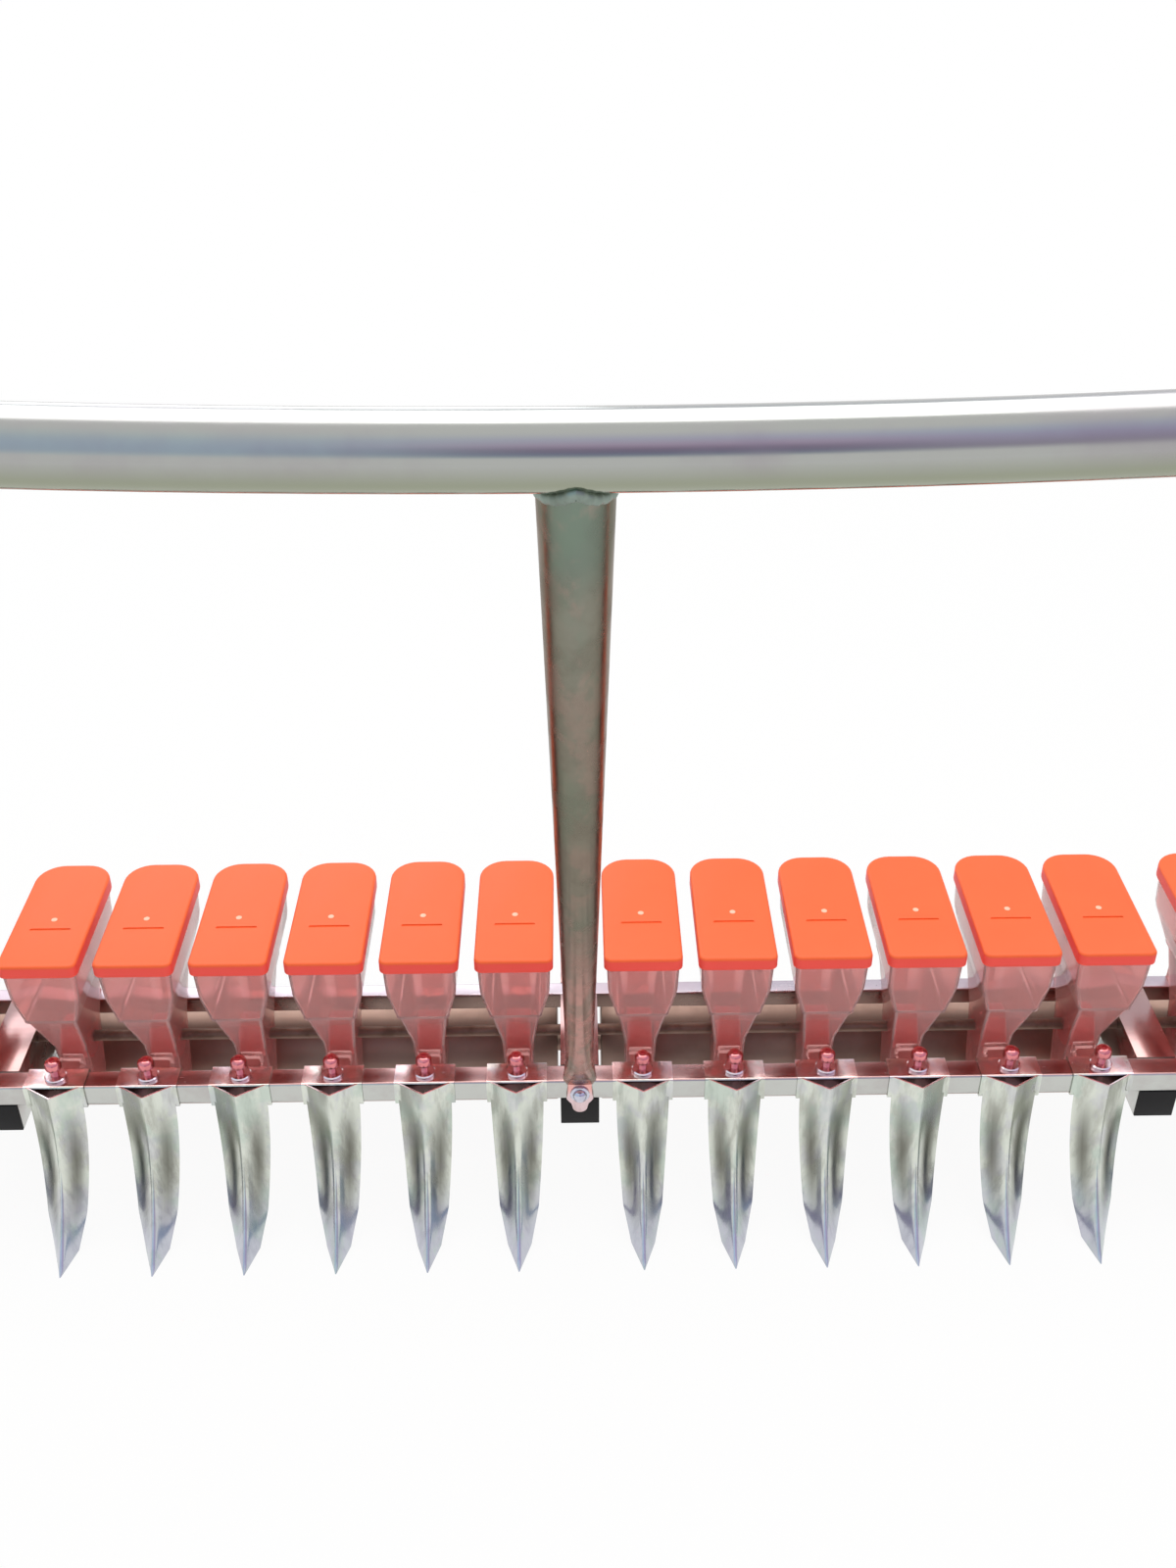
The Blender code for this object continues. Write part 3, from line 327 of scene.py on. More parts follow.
# The red of the set bolt heads is a painted reflection of the lids
boltSteel = metalMaterial("boltSteel", (0.78, 0.26, 0.27), (0.62, 0.20, 0.21), 0.14)
nutSteel = metalMaterial("nutSteel", (0.84, 0.70, 0.73), (0.66, 0.50, 0.54), 0.10)
pivotSteel = metalMaterial("pivotSteel", (0.60, 0.60, 0.69), (0.44, 0.42, 0.52), 0.09)
rodSteel = metalMaterial(
    "rodSteel", (0.24, 0.15, 0.115), (0.16, 0.095, 0.07), 0.50, streaks=0.1, marks=0.6, markScale=40.0,
    streakScale=(20.0, 200.0, 200.0))
chainSteel = metalMaterial(
    "chainSteel", (0.30, 0.30, 0.30), (0.14, 0.12, 0.10), 0.30, streaks=0.12, marks=0.7, markScale=70.0,
    streakScale=(80.0, 80.0, 80.0), bump=0.1)
# The pale dot on each lid is a painted highlight
lidPlastic = plasticMaterial(
    "lidPlastic", (0.93, 0.132, 0.031), (0.95, 0.172, 0.050), 0.38, 1400.0, 0.06, glow=0.05, specular=0.35,
    tints=[(lidTop - 0.0018, lidTop - 0.0045, 0.9, (1.0, 0.082, 0.068))],
    shades=[("dot", 0.9, (1.0, 0.62, 0.45))])
# Redder below the ledge is a painted red glow from the rollers; the pale ledge lip and front corners are
# painted highlights
hopperPlastic = plasticMaterial(
    "hopperPlastic", (0.95, 0.60, 0.58), (0.88, 0.50, 0.48), 0.06, 500.0, 0.03, clear=0.76, ior=1.22,
    tints=[(0.235, 0.228, 0.50, (0.92, 0.38, 0.36))], shades=[("edge", 0.8, (1.0, 0.80, 0.79))])
rollerPlastic = plasticMaterial("rollerPlastic", (0.90, 0.045, 0.06), (0.75, 0.03, 0.035), 0.30, 900.0, 0.05)
plugPlastic = plasticMaterial(
    "plugPlastic", (0.010, 0.010, 0.011), (0.022, 0.020, 0.020), 0.46, 1600.0, 0.15, patches=0.6,
    specular=0.22)
print("materials made")


origin = (0, 0, 0)
tubeSteps = 5              # faces round a tube's corner
leastTubeRadius = 0.0006   # inside a tube's corner
mergeDistance = 1e-6


# Shape helpers: an outline is a list of (u, v) points, a shape is a bmesh
def angles(first, last, count):
    # Even steps from one angle in degrees to another, both included, in radians
    return [math.radians(first + (last - first) * k / (count - 1)) for k in range(count)]


def arc(middleU, middleV, radius, turns):
    return [(middleU + radius * math.cos(turn), middleV + radius * math.sin(turn)) for turn in turns]


def circle(radius, sides):
    return arc(0.0, 0.0, radius, [2 * math.pi * k / sides for k in range(sides)])


def loft(rings, closed=False):
    # Skin over rings of points, with a face on each end unless it closes on itself
    shape = bmesh.new()
    loops = [[shape.verts.new(point) for point in ring] for ring in rings]
    count = len(loops[0])
    for lower, upper in zip(loops, loops[1:] + (loops[:1] if closed else [])):
        for i in range(count):
            j = (i + 1) % count
            shape.faces.new((lower[i], lower[j], upper[j], upper[i]))
    if not closed:
        shape.faces.new(loops[0][::-1])
        shape.faces.new(loops[-1])
    return shape


def onAxis(axis, along, u, v):
    return {"X": (along, u, v), "Y": (u, along, v), "Z": (u, v, along)}[axis]


def shifted(outline, byU, byV):
    return [(byU + u, byV + v) for u, v in outline]


def prism(outline, axis, low, high):
    # An outline of (u, v) points drawn out along an axis
    return loft([[onAxis(axis, along, u, v) for u, v in outline] for along in (low, high)])


def roundedBox(halfWide, halfTall, radius, steps):
    # Outline of a rectangle with round corners, about its own middle
    points = []
    for corner in range(4):
        middleU = (1, -1, -1, 1)[corner] * (halfWide - radius)
        middleV = (1, 1, -1, -1)[corner] * (halfTall - radius)
        points += arc(middleU, middleV, radius, angles(90 * corner, 90 * corner + 90, steps + 1))
    return points


def squareTube(x0, x1, middleY, middleZ, size, wall, radius):
    outer = roundedBox(size / 2, size / 2, radius, tubeSteps)
    inner = roundedBox(size / 2 - wall, size / 2 - wall, max(radius - wall, leastTubeRadius), tubeSteps)
    stations = ((x0, outer), (x1, outer), (x1, inner), (x0, inner))
    return loft([[(x, middleY + u, middleZ + v) for u, v in outline] for x, outline in stations], closed=True)


def turned(profile, axis, centre, sides, closed=False):
    # profile is (distance along the axis, radius); cleaning merges the points of a zero radius
    rings = []
    for along, radius in profile:
        outline = circle(radius, sides)
        if axis == "Y":
            outline = [(v, u) for u, v in outline]
        offsets = [onAxis(axis, along, u, v) for u, v in outline]
        rings.append([tuple(c + o for c, o in zip(centre, offset)) for offset in offsets])
    return loft(rings, closed)


def rod(low, high, radius, axis, centre, sides):
    return turned([(low, radius), (high, radius)], axis, centre, sides)


def cleaned(shape):
    bmesh.ops.remove_doubles(shape, verts=shape.verts, dist=mergeDistance)
    bmesh.ops.recalc_face_normals(shape, faces=shape.faces)
    return shape


def softened(shape, width, steps=2, angle=35):
    # Rounds every edge that turns more than the angle
    cleaned(shape)
    edges = [e for e in shape.edges if len(e.link_faces) == 2 and e.calc_face_angle(0) > math.radians(angle)]
    bmesh.ops.bevel(shape, geom=edges, offset=width, offset_type="OFFSET", segments=steps, profile=0.5,
                    affect="EDGES", clamp_overlap=True)
    return cleaned(shape)


def meshOf(shape):
    mesh = bpy.data.meshes.new("working")
    cleaned(shape).to_mesh(mesh)
    shape.free()
    return mesh


def shapeOf(*meshes):
    shape = bmesh.new()
    for mesh in meshes:
        shape.from_mesh(mesh)
    return shape


def joined(shapes):
    return shapeOf(*[meshOf(shape) for shape in shapes])


def workObject(mesh):
    piece = bpy.data.objects.new("working", mesh)
    bpy.context.scene.collection.objects.link(piece)
    return piece


def evaluatedMesh(piece):
    bpy.context.view_layer.update()
    graph = bpy.context.evaluated_depsgraph_get()
    return bpy.data.meshes.new_from_object(piece.evaluated_get(graph))


def carved(base, added=(), removed=()):
    # Exact Booleans on work objects; returns a new bmesh
    target = workObject(meshOf(base))
    tools = []
    for operation, shapes in (("UNION", added), ("DIFFERENCE", removed)):
        for shape in shapes:
            tool = workObject(meshOf(shape))
            step = target.modifiers.new("cut", "BOOLEAN")
            step.operation, step.solver, step.object = operation, "EXACT", tool
            tools.append(tool)
    mesh = evaluatedMesh(target)
    for used in [target] + tools:
        bpy.data.objects.remove(used, do_unlink=True)
    return shapeOf(mesh)


def paint(mesh, name, domain, value):
    # A mask on faces or points, for a material to read
    attribute = mesh.attributes.new(name, "FLOAT", domain)
    for element in (mesh.polygons if domain == "FACE" else mesh.vertices):
        attribute.data[element.index].value = float(value(element))


def finishPiece(name, mesh, material, body, nodes=(), smooth=32):
    mesh.materials.clear()
    mesh.materials.append(material)
    mesh.shade_smooth()
    mesh.set_sharp_from_angle(angle=math.radians(smooth))
    piece = bpy.data.objects.new(name, mesh)
    bpy.context.scene.collection.objects.link(piece)
    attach(piece, body)
    if nodes:
        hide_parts(*nodes)


# Geometry Nodes: both trees end in plain faces with the given material
def geometryGroup(name, inputs):
    geometry = {"Geometry": ["Geometry"]}
    return newGroup(name, "GeometryNodeTree", {**geometry, **inputs, "Material": ["Material"]}, geometry)


def putOutFaces(tree, given, made, geometry):
    real = addNode(tree, "GeometryNodeRealizeInstances", Geometry=geometry)
    painted = addNode(tree, "GeometryNodeSetMaterial", Geometry=real.outputs["Geometry"],
                      Material=given["Material"])
    tree.links.new(painted.outputs["Geometry"], made["Geometry"])


def chance(tree, seed, reach):
    node = addNode(tree, "FunctionNodeRandomValue", data_type="FLOAT", Seed=seed)
    node.inputs[2].default_value, node.inputs[3].default_value = -reach, reach
    return node.outputs[1]


def copiesTree():
    # Copies of one piece on points that carry their own turn
    tree, given, made = geometryGroup("placeCopies", {
        "Object": ["Piece"], "Float": ["Wobble"], "Int": ["Seed"]})
    piece = addNode(tree, "GeometryNodeObjectInfo", transform_space="ORIGINAL", Object=given["Piece"])
    turn = addNode(tree, "GeometryNodeInputNamedAttribute", data_type="FLOAT_VECTOR", Name="turn")
    wobble = times(tree, chance(tree, given["Seed"], 1.0), given["Wobble"])
    about = addNode(tree, "ShaderNodeCombineXYZ", Z=wobble)
    both = addNode(tree, "ShaderNodeVectorMath", operation="ADD")
    tree.links.new(turn.outputs["Attribute"], both.inputs[0])
    tree.links.new(about.outputs[0], both.inputs[1])
    rotation = addNode(tree, "FunctionNodeEulerToRotation", Euler=both.outputs["Vector"])
    copies = addNode(tree, "GeometryNodeInstanceOnPoints", Points=given["Geometry"],
                     Instance=piece.outputs["Geometry"], Rotation=rotation.outputs["Rotation"])
    putOutFaces(tree, given, made, copies.outputs["Instances"])
    return tree


def beadTree():
    # A weld bead that follows a path and swells at every puddle
    tree, given, made = geometryGroup("weldBead", {
        "Float": ["Bead Radius", "Puddle Pitch", "Swell", "Points Per Puddle"], "Int": ["Seed"]})
    path = addNode(tree, "GeometryNodeMeshToCurve", Mesh=given["Geometry"])
    step = mathStep(tree, "DIVIDE", given["Puddle Pitch"], given["Points Per Puddle"])
    line = addNode(tree, "GeometryNodeResampleCurve", mode="LENGTH", Curve=path.outputs["Curve"], Length=step)
    along = addNode(tree, "GeometryNodeSplineParameter").outputs["Length"]
    puddles = mathStep(tree, "DIVIDE", along, given["Puddle Pitch"])
    wave = mathStep(tree, "SINE", times(tree, puddles, 2 * math.pi))
    uneven = times(tree, plus(tree, wave, chance(tree, given["Seed"], 0.25)), given["Swell"])
    size = times(tree, plus(tree, uneven, 1.0), given["Bead Radius"])
    ring = addNode(tree, "GeometryNodeCurvePrimitiveCircle", Resolution=16, Radius=1.0)
    thick = addNode(tree, "GeometryNodeSetCurveRadius", Curve=line.outputs["Curve"], Radius=size)
    radius = addNode(tree, "GeometryNodeInputRadius").outputs["Radius"]
    skin = addNode(tree, "GeometryNodeCurveToMesh", Curve=thick.outputs["Curve"],
                   Profile_Curve=ring.outputs["Curve"], Scale=radius, Fill_Caps=True)
    putOutFaces(tree, given, made, skin.outputs["Mesh"])
    return tree


copiesGroup = copiesTree()
beadGroup = beadTree()


def runTree(tree, mesh, values):
    # Runs a tree on a mesh with its named inputs and returns the plain result
    carrier = workObject(mesh)
    step = carrier.modifiers.new("nodes", "NODES")
    step.node_group = tree
    for item in tree.interface.items_tree:
        if item.item_type == "SOCKET" and item.in_out == "INPUT" and item.name in values:
            step[item.identifier] = values[item.name]
    result = evaluatedMesh(carrier)
    bpy.data.objects.remove(carrier, do_unlink=True)
    return result


def makeCopies(template, places, material, turns=None, wobble=0.0, seed=1):
    points = bpy.data.meshes.new("points")
    points.from_pydata([tuple(place) for place in places], [], [])
    attribute = points.attributes.new("turn", "FLOAT_VECTOR", "POINT")
    for index, turn in enumerate(turns or [(0.0, 0.0, 0.0)] * len(places)):
        attribute.data[index].vector = turn
    piece = workObject(template)
    values = {"Piece": piece, "Wobble": wobble, "Seed": seed, "Material": material}
    result = runTree(copiesGroup, points, values)
    bpy.data.objects.remove(piece, do_unlink=True)
    return result


def rowCopies(template, material):
    return makeCopies(template, [(x, 0, 0) for x in rowX], material)


# Bars: square tubes with rolled corners, open at their ends
bars = {"frontRadius": 0.0028, "rearRadius": 0.0022, "wall": 0.0015, "shadedFrontDepth": 0.0008}


def makeBars():
    front = squareTube(barLow.x, barHigh.x, *barMiddle, barSize, bars["wall"], bars["frontRadius"])
    finishPiece("frontBar", meshOf(front), barSteel, "frame", ["front_bar"])
    rear = meshOf(squareTube(rearLow.x, rearHigh.x, *rearMiddle, rearSize, bars["wall"], bars["rearRadius"]))
    # Painted shade on the rear bar's front face
    paint(rear, "ahead", "FACE", lambda face: face.center.y < rearLow.y + bars["shadedFrontDepth"])
    finishPiece("rearBar", rear, rearSteel, "frame", ["rear_bar"])


# Members and their plugs: the CAD shapes with rounded edges
memberParts = {"edge": 0.0011, "plugEdge": 0.0006, "merge": 1e-5, "flat": 1.0, "turn": 20}


def refinedCopy(node, width):
    shape = shapeOf(frame["nodes"][node].data)
    bmesh.ops.remove_doubles(shape, verts=shape.verts, dist=memberParts["merge"])
    bmesh.ops.dissolve_limit(shape, angle_limit=math.radians(memberParts["flat"]), verts=shape.verts,
                             edges=shape.edges)
    return meshOf(softened(shape, width, 2, memberParts["turn"]))


def makeMembers():
    for side in ("left", "centre", "right"):
        member = refinedCopy(side + "_member", memberParts["edge"])
        finishPiece(side + "Member", member, barSteel, "frame", [side + "_member"])
        plug = refinedCopy(side + "_member_plug", memberParts["plugEdge"])
        finishPiece(side + "Plug", plug, plugPlastic, "frame", [side + "_member_plug"])


# Openers: folded blades on clamp sleeves
opener = {"sleeveWidth": 0.062, "sleeveWall": 0.002, "gap": 0.0003, "sleeveRadius": 0.0026,
          "halfWidth": 0.0275, "nose": 0.0185, "sweep": 0.081, "rearSweep": 0.068, "curve": 2.4,
          "sheet": 0.0014, "knee": 0.80, "kneeHalf": 0.0205, "heel": 0.975, "heelHalf": 0.0125,
          "tipHalf": 0.0022, "tipLength": 0.007, "foldRadius": 0.0024, "foldShare": 0.3,
          "leastFold": 0.0005, "hollow": 0.0022, "levels": 44, "flankPoints": 7, "foldPoints": 7,
          "shadeTop": 1.1, "shadeDepth": 0.140, "shadeLeast": 0.22, "shadeFacing": 0.15, "highlightFacing": 0.9}
# The pressed hollows, in shape and as a mask of painted dark reflection: (start, reach, power) of their swell
pressed = {"across": (0.0, 1.0, 1.2), "down": (0.12, 0.88, 1.5), "shadeAcross": (0.10, 0.88, 1.5),
           "shadeDown": (0.10, 0.80, 1.2), "leastHalf": 0.004}
setBolt = {"nutRadius": 0.0112, "nutHeight": 0.0040, "nutBore": 0.0032, "nutChamfer": 0.0012,
           "nutShoulder": 0.75, "nutSunk": 0.0004, "shank": 0.0042, "shankSunk": 0.0003, "thread": 0.0004,
           "threadRise": 0.0006, "threadEnd": 0.0008, "threads": 12, "head": 0.0084,
           "headHeight": 0.0105, "headChamfer": 0.0006, "dome": 0.0052, "domeTurn": 60, "rise": 0.0245,
           "socket": 0.0024, "socketDepth": 0.003, "sides": 32}
sleeveFront = faceY - opener["gap"] - opener["sleeveWall"]
sleeveTop = barTop + opener["gap"] + opener["sleeveWall"]


def clamped(value):
    return min(max(value, 0.0), 1.0)


def swell(value, start, reach, power):
    # Rises from 0 to 1 and falls back over the reach
    return math.sin(math.pi * clamped((value - start) / reach)) ** power


def bladeLevel(level):
    # Half width, fold, rear edge and height at a share of the way down
    curve = level ** opener["curve"]
    fold = sleeveFront - opener["nose"] + opener["sleeveWall"] - opener["sweep"] * curve
    rear = sleeveFront + opener["sleeveWall"] / 4 - opener["rearSweep"] * curve
    knee, heel, kneeHalf = opener["knee"], opener["heel"], opener["kneeHalf"]
    if level <= knee:
        half = opener["halfWidth"] + (kneeHalf - opener["halfWidth"]) * (level / knee) ** 2
    else:
        half = kneeHalf + (opener["heelHalf"] - kneeHalf) * (level - knee) / (heel - knee)
    return half, fold, rear, sleeveTop * (1 - level)


def foldedLine(half, fold, rear, radius, dip):
    # From one edge round the fold to the other, with hollow flanks
    slant = math.hypot(half, rear - fold)
    lean = math.atan2(half, rear - fold)
    radius = min(radius, opener["foldShare"] * slant * math.tan(lean))
    tangent = radius / math.tan(lean)
    startX, startY = tangent * math.sin(lean), fold + tangent * math.cos(lean)
    side = []
    for k in range(opener["flankPoints"]):
        share = k / opener["flankPoints"]
        inward = dip * swell(share, *pressed["across"])
        side.append((half + (startX - half) * share - inward * math.cos(lean),
                     rear + (startY - rear) * share + inward * math.sin(lean)))
    middle, spread = fold + radius / math.sin(lean), math.pi / 2 - lean
    turns = [spread * (1 - 2 * k / (opener["foldPoints"] - 1)) for k in range(opener["foldPoints"])]
    bend = [(radius * math.sin(turn), middle - radius * math.cos(turn)) for turn in turns]
    return side + bend + [(-x, y) for x, y in reversed(side)]


def bladeRing(half, fold, rear, z, dip):
    # The shares keep the sheet's inner side inside near the tip
    sheet, foldRadius = opener["sheet"], opener["foldRadius"]
    depth = rear - fold
    slant = math.hypot(half, depth)
    innerHalf = max(half - sheet * slant / depth, half * 0.3)
    innerFold = fold + min(sheet * slant / half, depth * 0.6)
    outer = foldedLine(half, fold, rear, foldRadius, dip)
    inner = foldedLine(innerHalf, innerFold, rear, max(foldRadius - sheet, opener["leastFold"]), dip * 0.9)
    return [(x, y, z) for x, y in outer + inner[::-1]]


def bladeShape():
    rings = []
    for k in range(opener["levels"]):
        level = opener["heel"] * k / (opener["levels"] - 1)
        dip = opener["hollow"] * swell(level, *pressed["down"])
        rings.append(bladeRing(*bladeLevel(level), dip))
    fold = bladeLevel(1.0)[1]
    rings.append(bladeRing(opener["tipHalf"], fold, fold + opener["tipLength"], 0.0, 0.0))
    return loft(rings)


def channelShadeMask(face):
    # Painted shade in the channel behind the blade, darkest at its top
    fade = opener["shadeTop"] - (barTop - face.center.z) / opener["shadeDepth"]
    behind = face.normal.y > opener["shadeFacing"] and face.center.y < sleeveFront
    return min(max(fade, opener["shadeLeast"]), 1.0) * behind


def rimHighlightMask(face):
    # Painted highlight on the blade's top edge
    return face.normal.z > opener["highlightFacing"] and face.center.y < sleeveFront


def hollowShadeMask(point):
    # Painted dark reflection in the pressed hollows beside the fold
    level = 1 - point.co.z / sleeveTop
    if point.co.y >= faceY or not 0 < level < 1:
        return 0.0
    across = min(abs(point.co.x) / max(bladeLevel(level)[0], pressed["leastHalf"]), 1.0)
    return swell(across, *pressed["shadeAcross"]) * swell(level, *pressed["shadeDown"])


def makeOpeners():
    half = opener["sleeveWidth"] / 2
    size = barSize + 2 * (opener["gap"] + opener["sleeveWall"])
    sleeve = squareTube(-half, half, *barMiddle, size, opener["sleeveWall"], opener["sleeveRadius"])
    template = meshOf(carved(sleeve, added=[bladeShape()]))
    # Painted light: shade in the channel, a highlight on the top edge, a dark reflection in the hollows
    paint(template, "inside", "FACE", channelShadeMask)
    paint(template, "rim", "FACE", rimHighlightMask)
    paint(template, "hollow", "POINT", hollowShadeMask)
    blades = rowCopies(template, bladeSteel)
    finishPiece("openerBlades", blades, bladeSteel, "frame", rowNames("opener"), 38)
    print("openers made:", len(blades.polygons), "faces")


def makeSetBolts():
    s = setBolt
    bore, radius, height = s["nutBore"], s["nutRadius"], s["nutHeight"]
    nut = turned([(-s["nutSunk"], bore), (-s["nutSunk"], radius), (height * s["nutShoulder"], radius),
                  (height, radius - s["nutChamfer"]), (height, bore)], "Z", origin, s["sides"], closed=True)
    root, under, chamfer = s["shank"] - s["thread"], s["rise"] - s["headHeight"], s["headChamfer"]
    profile = [(-s["shankSunk"], root)]
    for k in range(s["threads"]):
        z = s["threadRise"] + k * (under - s["threadEnd"]) / s["threads"]
        profile += [(z, root), (z + s["threadRise"], s["shank"])]
    profile += [(under, s["shank"]), (under, s["head"] - chamfer), (under + chamfer, s["head"])]
    for turn in angles(0, s["domeTurn"], 7):
        share = math.sin(turn) / math.sin(math.radians(s["domeTurn"]))
        profile.append((s["rise"] - s["dome"] * (1 - share), s["head"] * math.cos(turn)))
    profile += [(s["rise"], s["socket"]), (s["rise"] - s["socketDepth"], s["socket"])]
    bolt = turned(profile, "Z", origin, s["sides"])
    places = [(x, barMiddle[0], sleeveTop) for x in rowX]
    nuts = makeCopies(meshOf(nut), places, nutSteel, wobble=0.5, seed=4)
    finishPiece("weldNuts", nuts, nutSteel, "frame")
    bolts = makeCopies(meshOf(bolt), places, boltSteel, wobble=3.1, seed=7)
    finishPiece("setBolts", bolts, boltSteel, "frame")


# Hoppers: clear moulded shells; housing, ledge and outlet are measured from the seed shaft
hopper = {"wall": 0.0024, "rimHalf": 0.0372, "rimFront": 0.0283, "rimRear": 0.1957, "rimZ": 0.3107,
          "footHalf": 0.0350, "footFront": 0.0298, "footRear": 0.1927, "footZ": 0.263,
          "ledgeHalf": 0.026, "ledgeFront": 0.0308, "ledgeBack": 0.055, "ledgeZ": 0.234, "ledgeLip": 0.0012,
          "housingHalf": 0.0170, "housingDepth": 0.032, "throatRise": 0.009, "outletHalf": 0.0145,
          "outletDepth": 0.016, "outletZ": 0.084, "rearCorner": 0.026, "frontCorner": 0.006,
          "cornerSteps": 6, "leastFrontCorner": 0.0012, "leastRearCorner": 0.003, "shaftHole": 0.0067,
          "footWide": 0.012, "footInset": 0.0015, "footGap": 0.0003, "barCorner": 0.002,
          "lugHalfTall": 0.009, "lugDrop": 0.007, "lugGap": 0.0026, "lugReach": 0.0034, "earFrom": 0.0083,
          "earTo": 0.0113, "earInset": 0.0012, "earDrop": 0.0125, "earRound": 0.0031, "pinHole": 0.0019,
          "lipRise": 0.001, "lipBand": 0.0025, "cornerFacing": 0.3}


def trayOutline(half, front, rear, frontCorner, rearCorner, z, steps):
    points = []
    for middleX, middleY, radius, start in (
            (half - rearCorner, rear - rearCorner, rearCorner, 0),
            (-half + rearCorner, rear - rearCorner, rearCorner, 90),
            (-half + frontCorner, front + frontCorner, frontCorner, 180),
            (half - frontCorner, front + frontCorner, frontCorner, 270)):
        points += [(x, y, z) for x, y in arc(middleX, middleY, radius, angles(start, start + 90, steps + 1))]
    return points


def hopperShell():
    h = hopper
    shaftBack, depth, outlet = seedAxis.y - faceY, h["housingDepth"], h["outletDepth"]
    footHalf, footFront, footRear, footZ = h["footHalf"], h["footFront"], h["footRear"], h["footZ"]
    ledgeHalf, ledgeFront, ledgeRear = h["ledgeHalf"], h["ledgeFront"], shaftBack + h["ledgeBack"]
    corners = (h["frontCorner"], h["rearCorner"])
    lip, ledgeZ, throatZ = ledgeHalf + h["ledgeLip"], h["ledgeZ"], seedAxis.z + h["throatRise"]
    housing, front, rear = h["housingHalf"], shaftBack - depth, shaftBack + depth
    # Half width, front, rear, two corner radii and height, from the rim down
    levels = [
        (h["rimHalf"], h["rimFront"], h["rimRear"], *corners, h["rimZ"]),
        (footHalf + 0.0004, footFront, footRear, *corners, footZ + 0.004),
        (footHalf - 0.0006, footFront + 0.0001, footRear - 0.003, *corners, footZ - 0.002),
        (lip, ledgeFront, ledgeRear + 0.004, 0.005, 0.012, ledgeZ + 0.002),
        (lip, ledgeFront, ledgeRear + 0.001, 0.005, 0.011, ledgeZ),
        (ledgeHalf - 0.001, ledgeFront + 0.003, ledgeRear - 0.003, 0.004, 0.010, ledgeZ - 0.0015),
        (housing + 0.0004, front + 0.0002, rear + 0.0008, 0.004, 0.006, throatZ + 0.003),
        (housing, front + 0.0003, rear - 0.0006, 0.004, 0.006, throatZ - 0.003),
        (h["outletHalf"], shaftBack - outlet, shaftBack + outlet, 0.003, 0.006, h["outletZ"])]

    def ringAt(level, wall):
        half, front, rear, frontCorner, rearCorner, z = level
        frontCorner = max(frontCorner - wall, h["leastFrontCorner"])
        rearCorner = max(rearCorner - wall, h["leastRearCorner"])
        return trayOutline(half - wall, faceY + front + wall, faceY + rear - wall, frontCorner, rearCorner, z,
                           h["cornerSteps"])

    outer = [ringAt(level, 0.0) for level in levels]
    inner = [ringAt(level, h["wall"]) for level in levels[:4] + levels[5:]]
    return loft(outer[::-1] + inner, closed=True)


def makeHoppers():
    # The shell with its foot on the rear bar, its lug behind the front bar and two hinge ears
    h = hopper
    footDepth = rearHigh.y - rearLow.y - 2 * h["footInset"]
    footMiddle = rearLow.y + h["footInset"] + footDepth / 2
    footRings = []
    for z, grow in ((barTop + h["footGap"], 0.0), (barTop + 0.004, -0.0004), (h["ledgeZ"] + 0.004, -0.001)):
        outline = roundedBox(h["footWide"] + grow, footDepth / 2 + grow, h["barCorner"], 3)
        footRings.append([(u, footMiddle + v, z) for u, v in outline])
    lug = roundedBox(h["footWide"], h["lugHalfTall"], h["barCorner"], 3)
    lug = prism(shifted(lug, 0, seedAxis.z - h["lugDrop"]), "Y", faceY + barSize + h["lugGap"],
                seedAxis.y - h["housingDepth"] + h["lugReach"])
    earY = faceY + h["rimRear"] - h["earInset"]
    ear = [(earY, hingeAxis.z + h["earInset"]), (earY, hingeAxis.z - h["earDrop"])]
    ear += arc(hingeAxis.y, hingeAxis.z, h["earRound"], angles(-60, 120, 9))
    ears = [prism(ear, "X", side * h["earFrom"], side * h["earTo"]) for side in (-1, 1)]
    holes = [rod(-0.05, 0.05, h["shaftHole"], "X", (0, seedAxis.y, seedAxis.z), 32),
             rod(-0.03, 0.03, h["pinHole"], "X", (0, hingeAxis.y, hingeAxis.z), 16)]
    template = meshOf(carved(hopperShell(), added=[loft(footRings), lug] + ears, removed=holes))

    # Painted highlights on the ledge lip and the front corners
    def edgeHighlightMask(face):
        onLip = abs(face.center.z - h["ledgeZ"] - h["lipRise"]) < h["lipBand"]
        sideways, ahead = abs(face.normal.x), -face.normal.y
        onCorner = min(sideways, ahead) > h["cornerFacing"] and face.center.z > seedAxis.z
        return onLip or onCorner

    paint(template, "edge", "FACE", edgeHighlightMask)
    shells = rowCopies(template, hopperPlastic)
    finishPiece("hopperShells", shells, hopperPlastic, "frame",
                rowNames("hopper"), 28)
    print("hoppers made:", len(shells.polygons), "faces")


# Lids: shallow moulded caps with a dot, a straight groove, a hinge barrel and its pin
lid = {"half": 0.0395, "front": 0.026, "rear": 0.198, "skirt": 0.015, "wall": 0.002, "edge": 0.0030,
       "innerEdge": 0.0015, "rimInside": 0.0003, "rimOutside": 0.0004, "frontCorner": 0.008,
       "rearCorner": 0.028, "steps": 8, "dotBack": 0.102, "dotRadius": 0.0030, "dotRise": 0.0006,
       "dotSunk": 0.0008, "grooveBack": 0.086, "grooveHalf": 0.021, "grooveWidth": 0.0017,
       "grooveDepth": 0.0012, "grooveRound": 0.98, "barrelHalf": 0.008, "barrelRadius": 0.0024,
       "barrelInset": 0.001, "barrelHigh": 0.006, "barrelLow": 0.0005, "pinHalf": 0.0113,
       "pinRadius": 0.0015}
# The dot's crown, as shares of its rise and its radius
dotCrown = [(0.3, 1.0), (0.8, 0.7), (1.0, 0.35)]


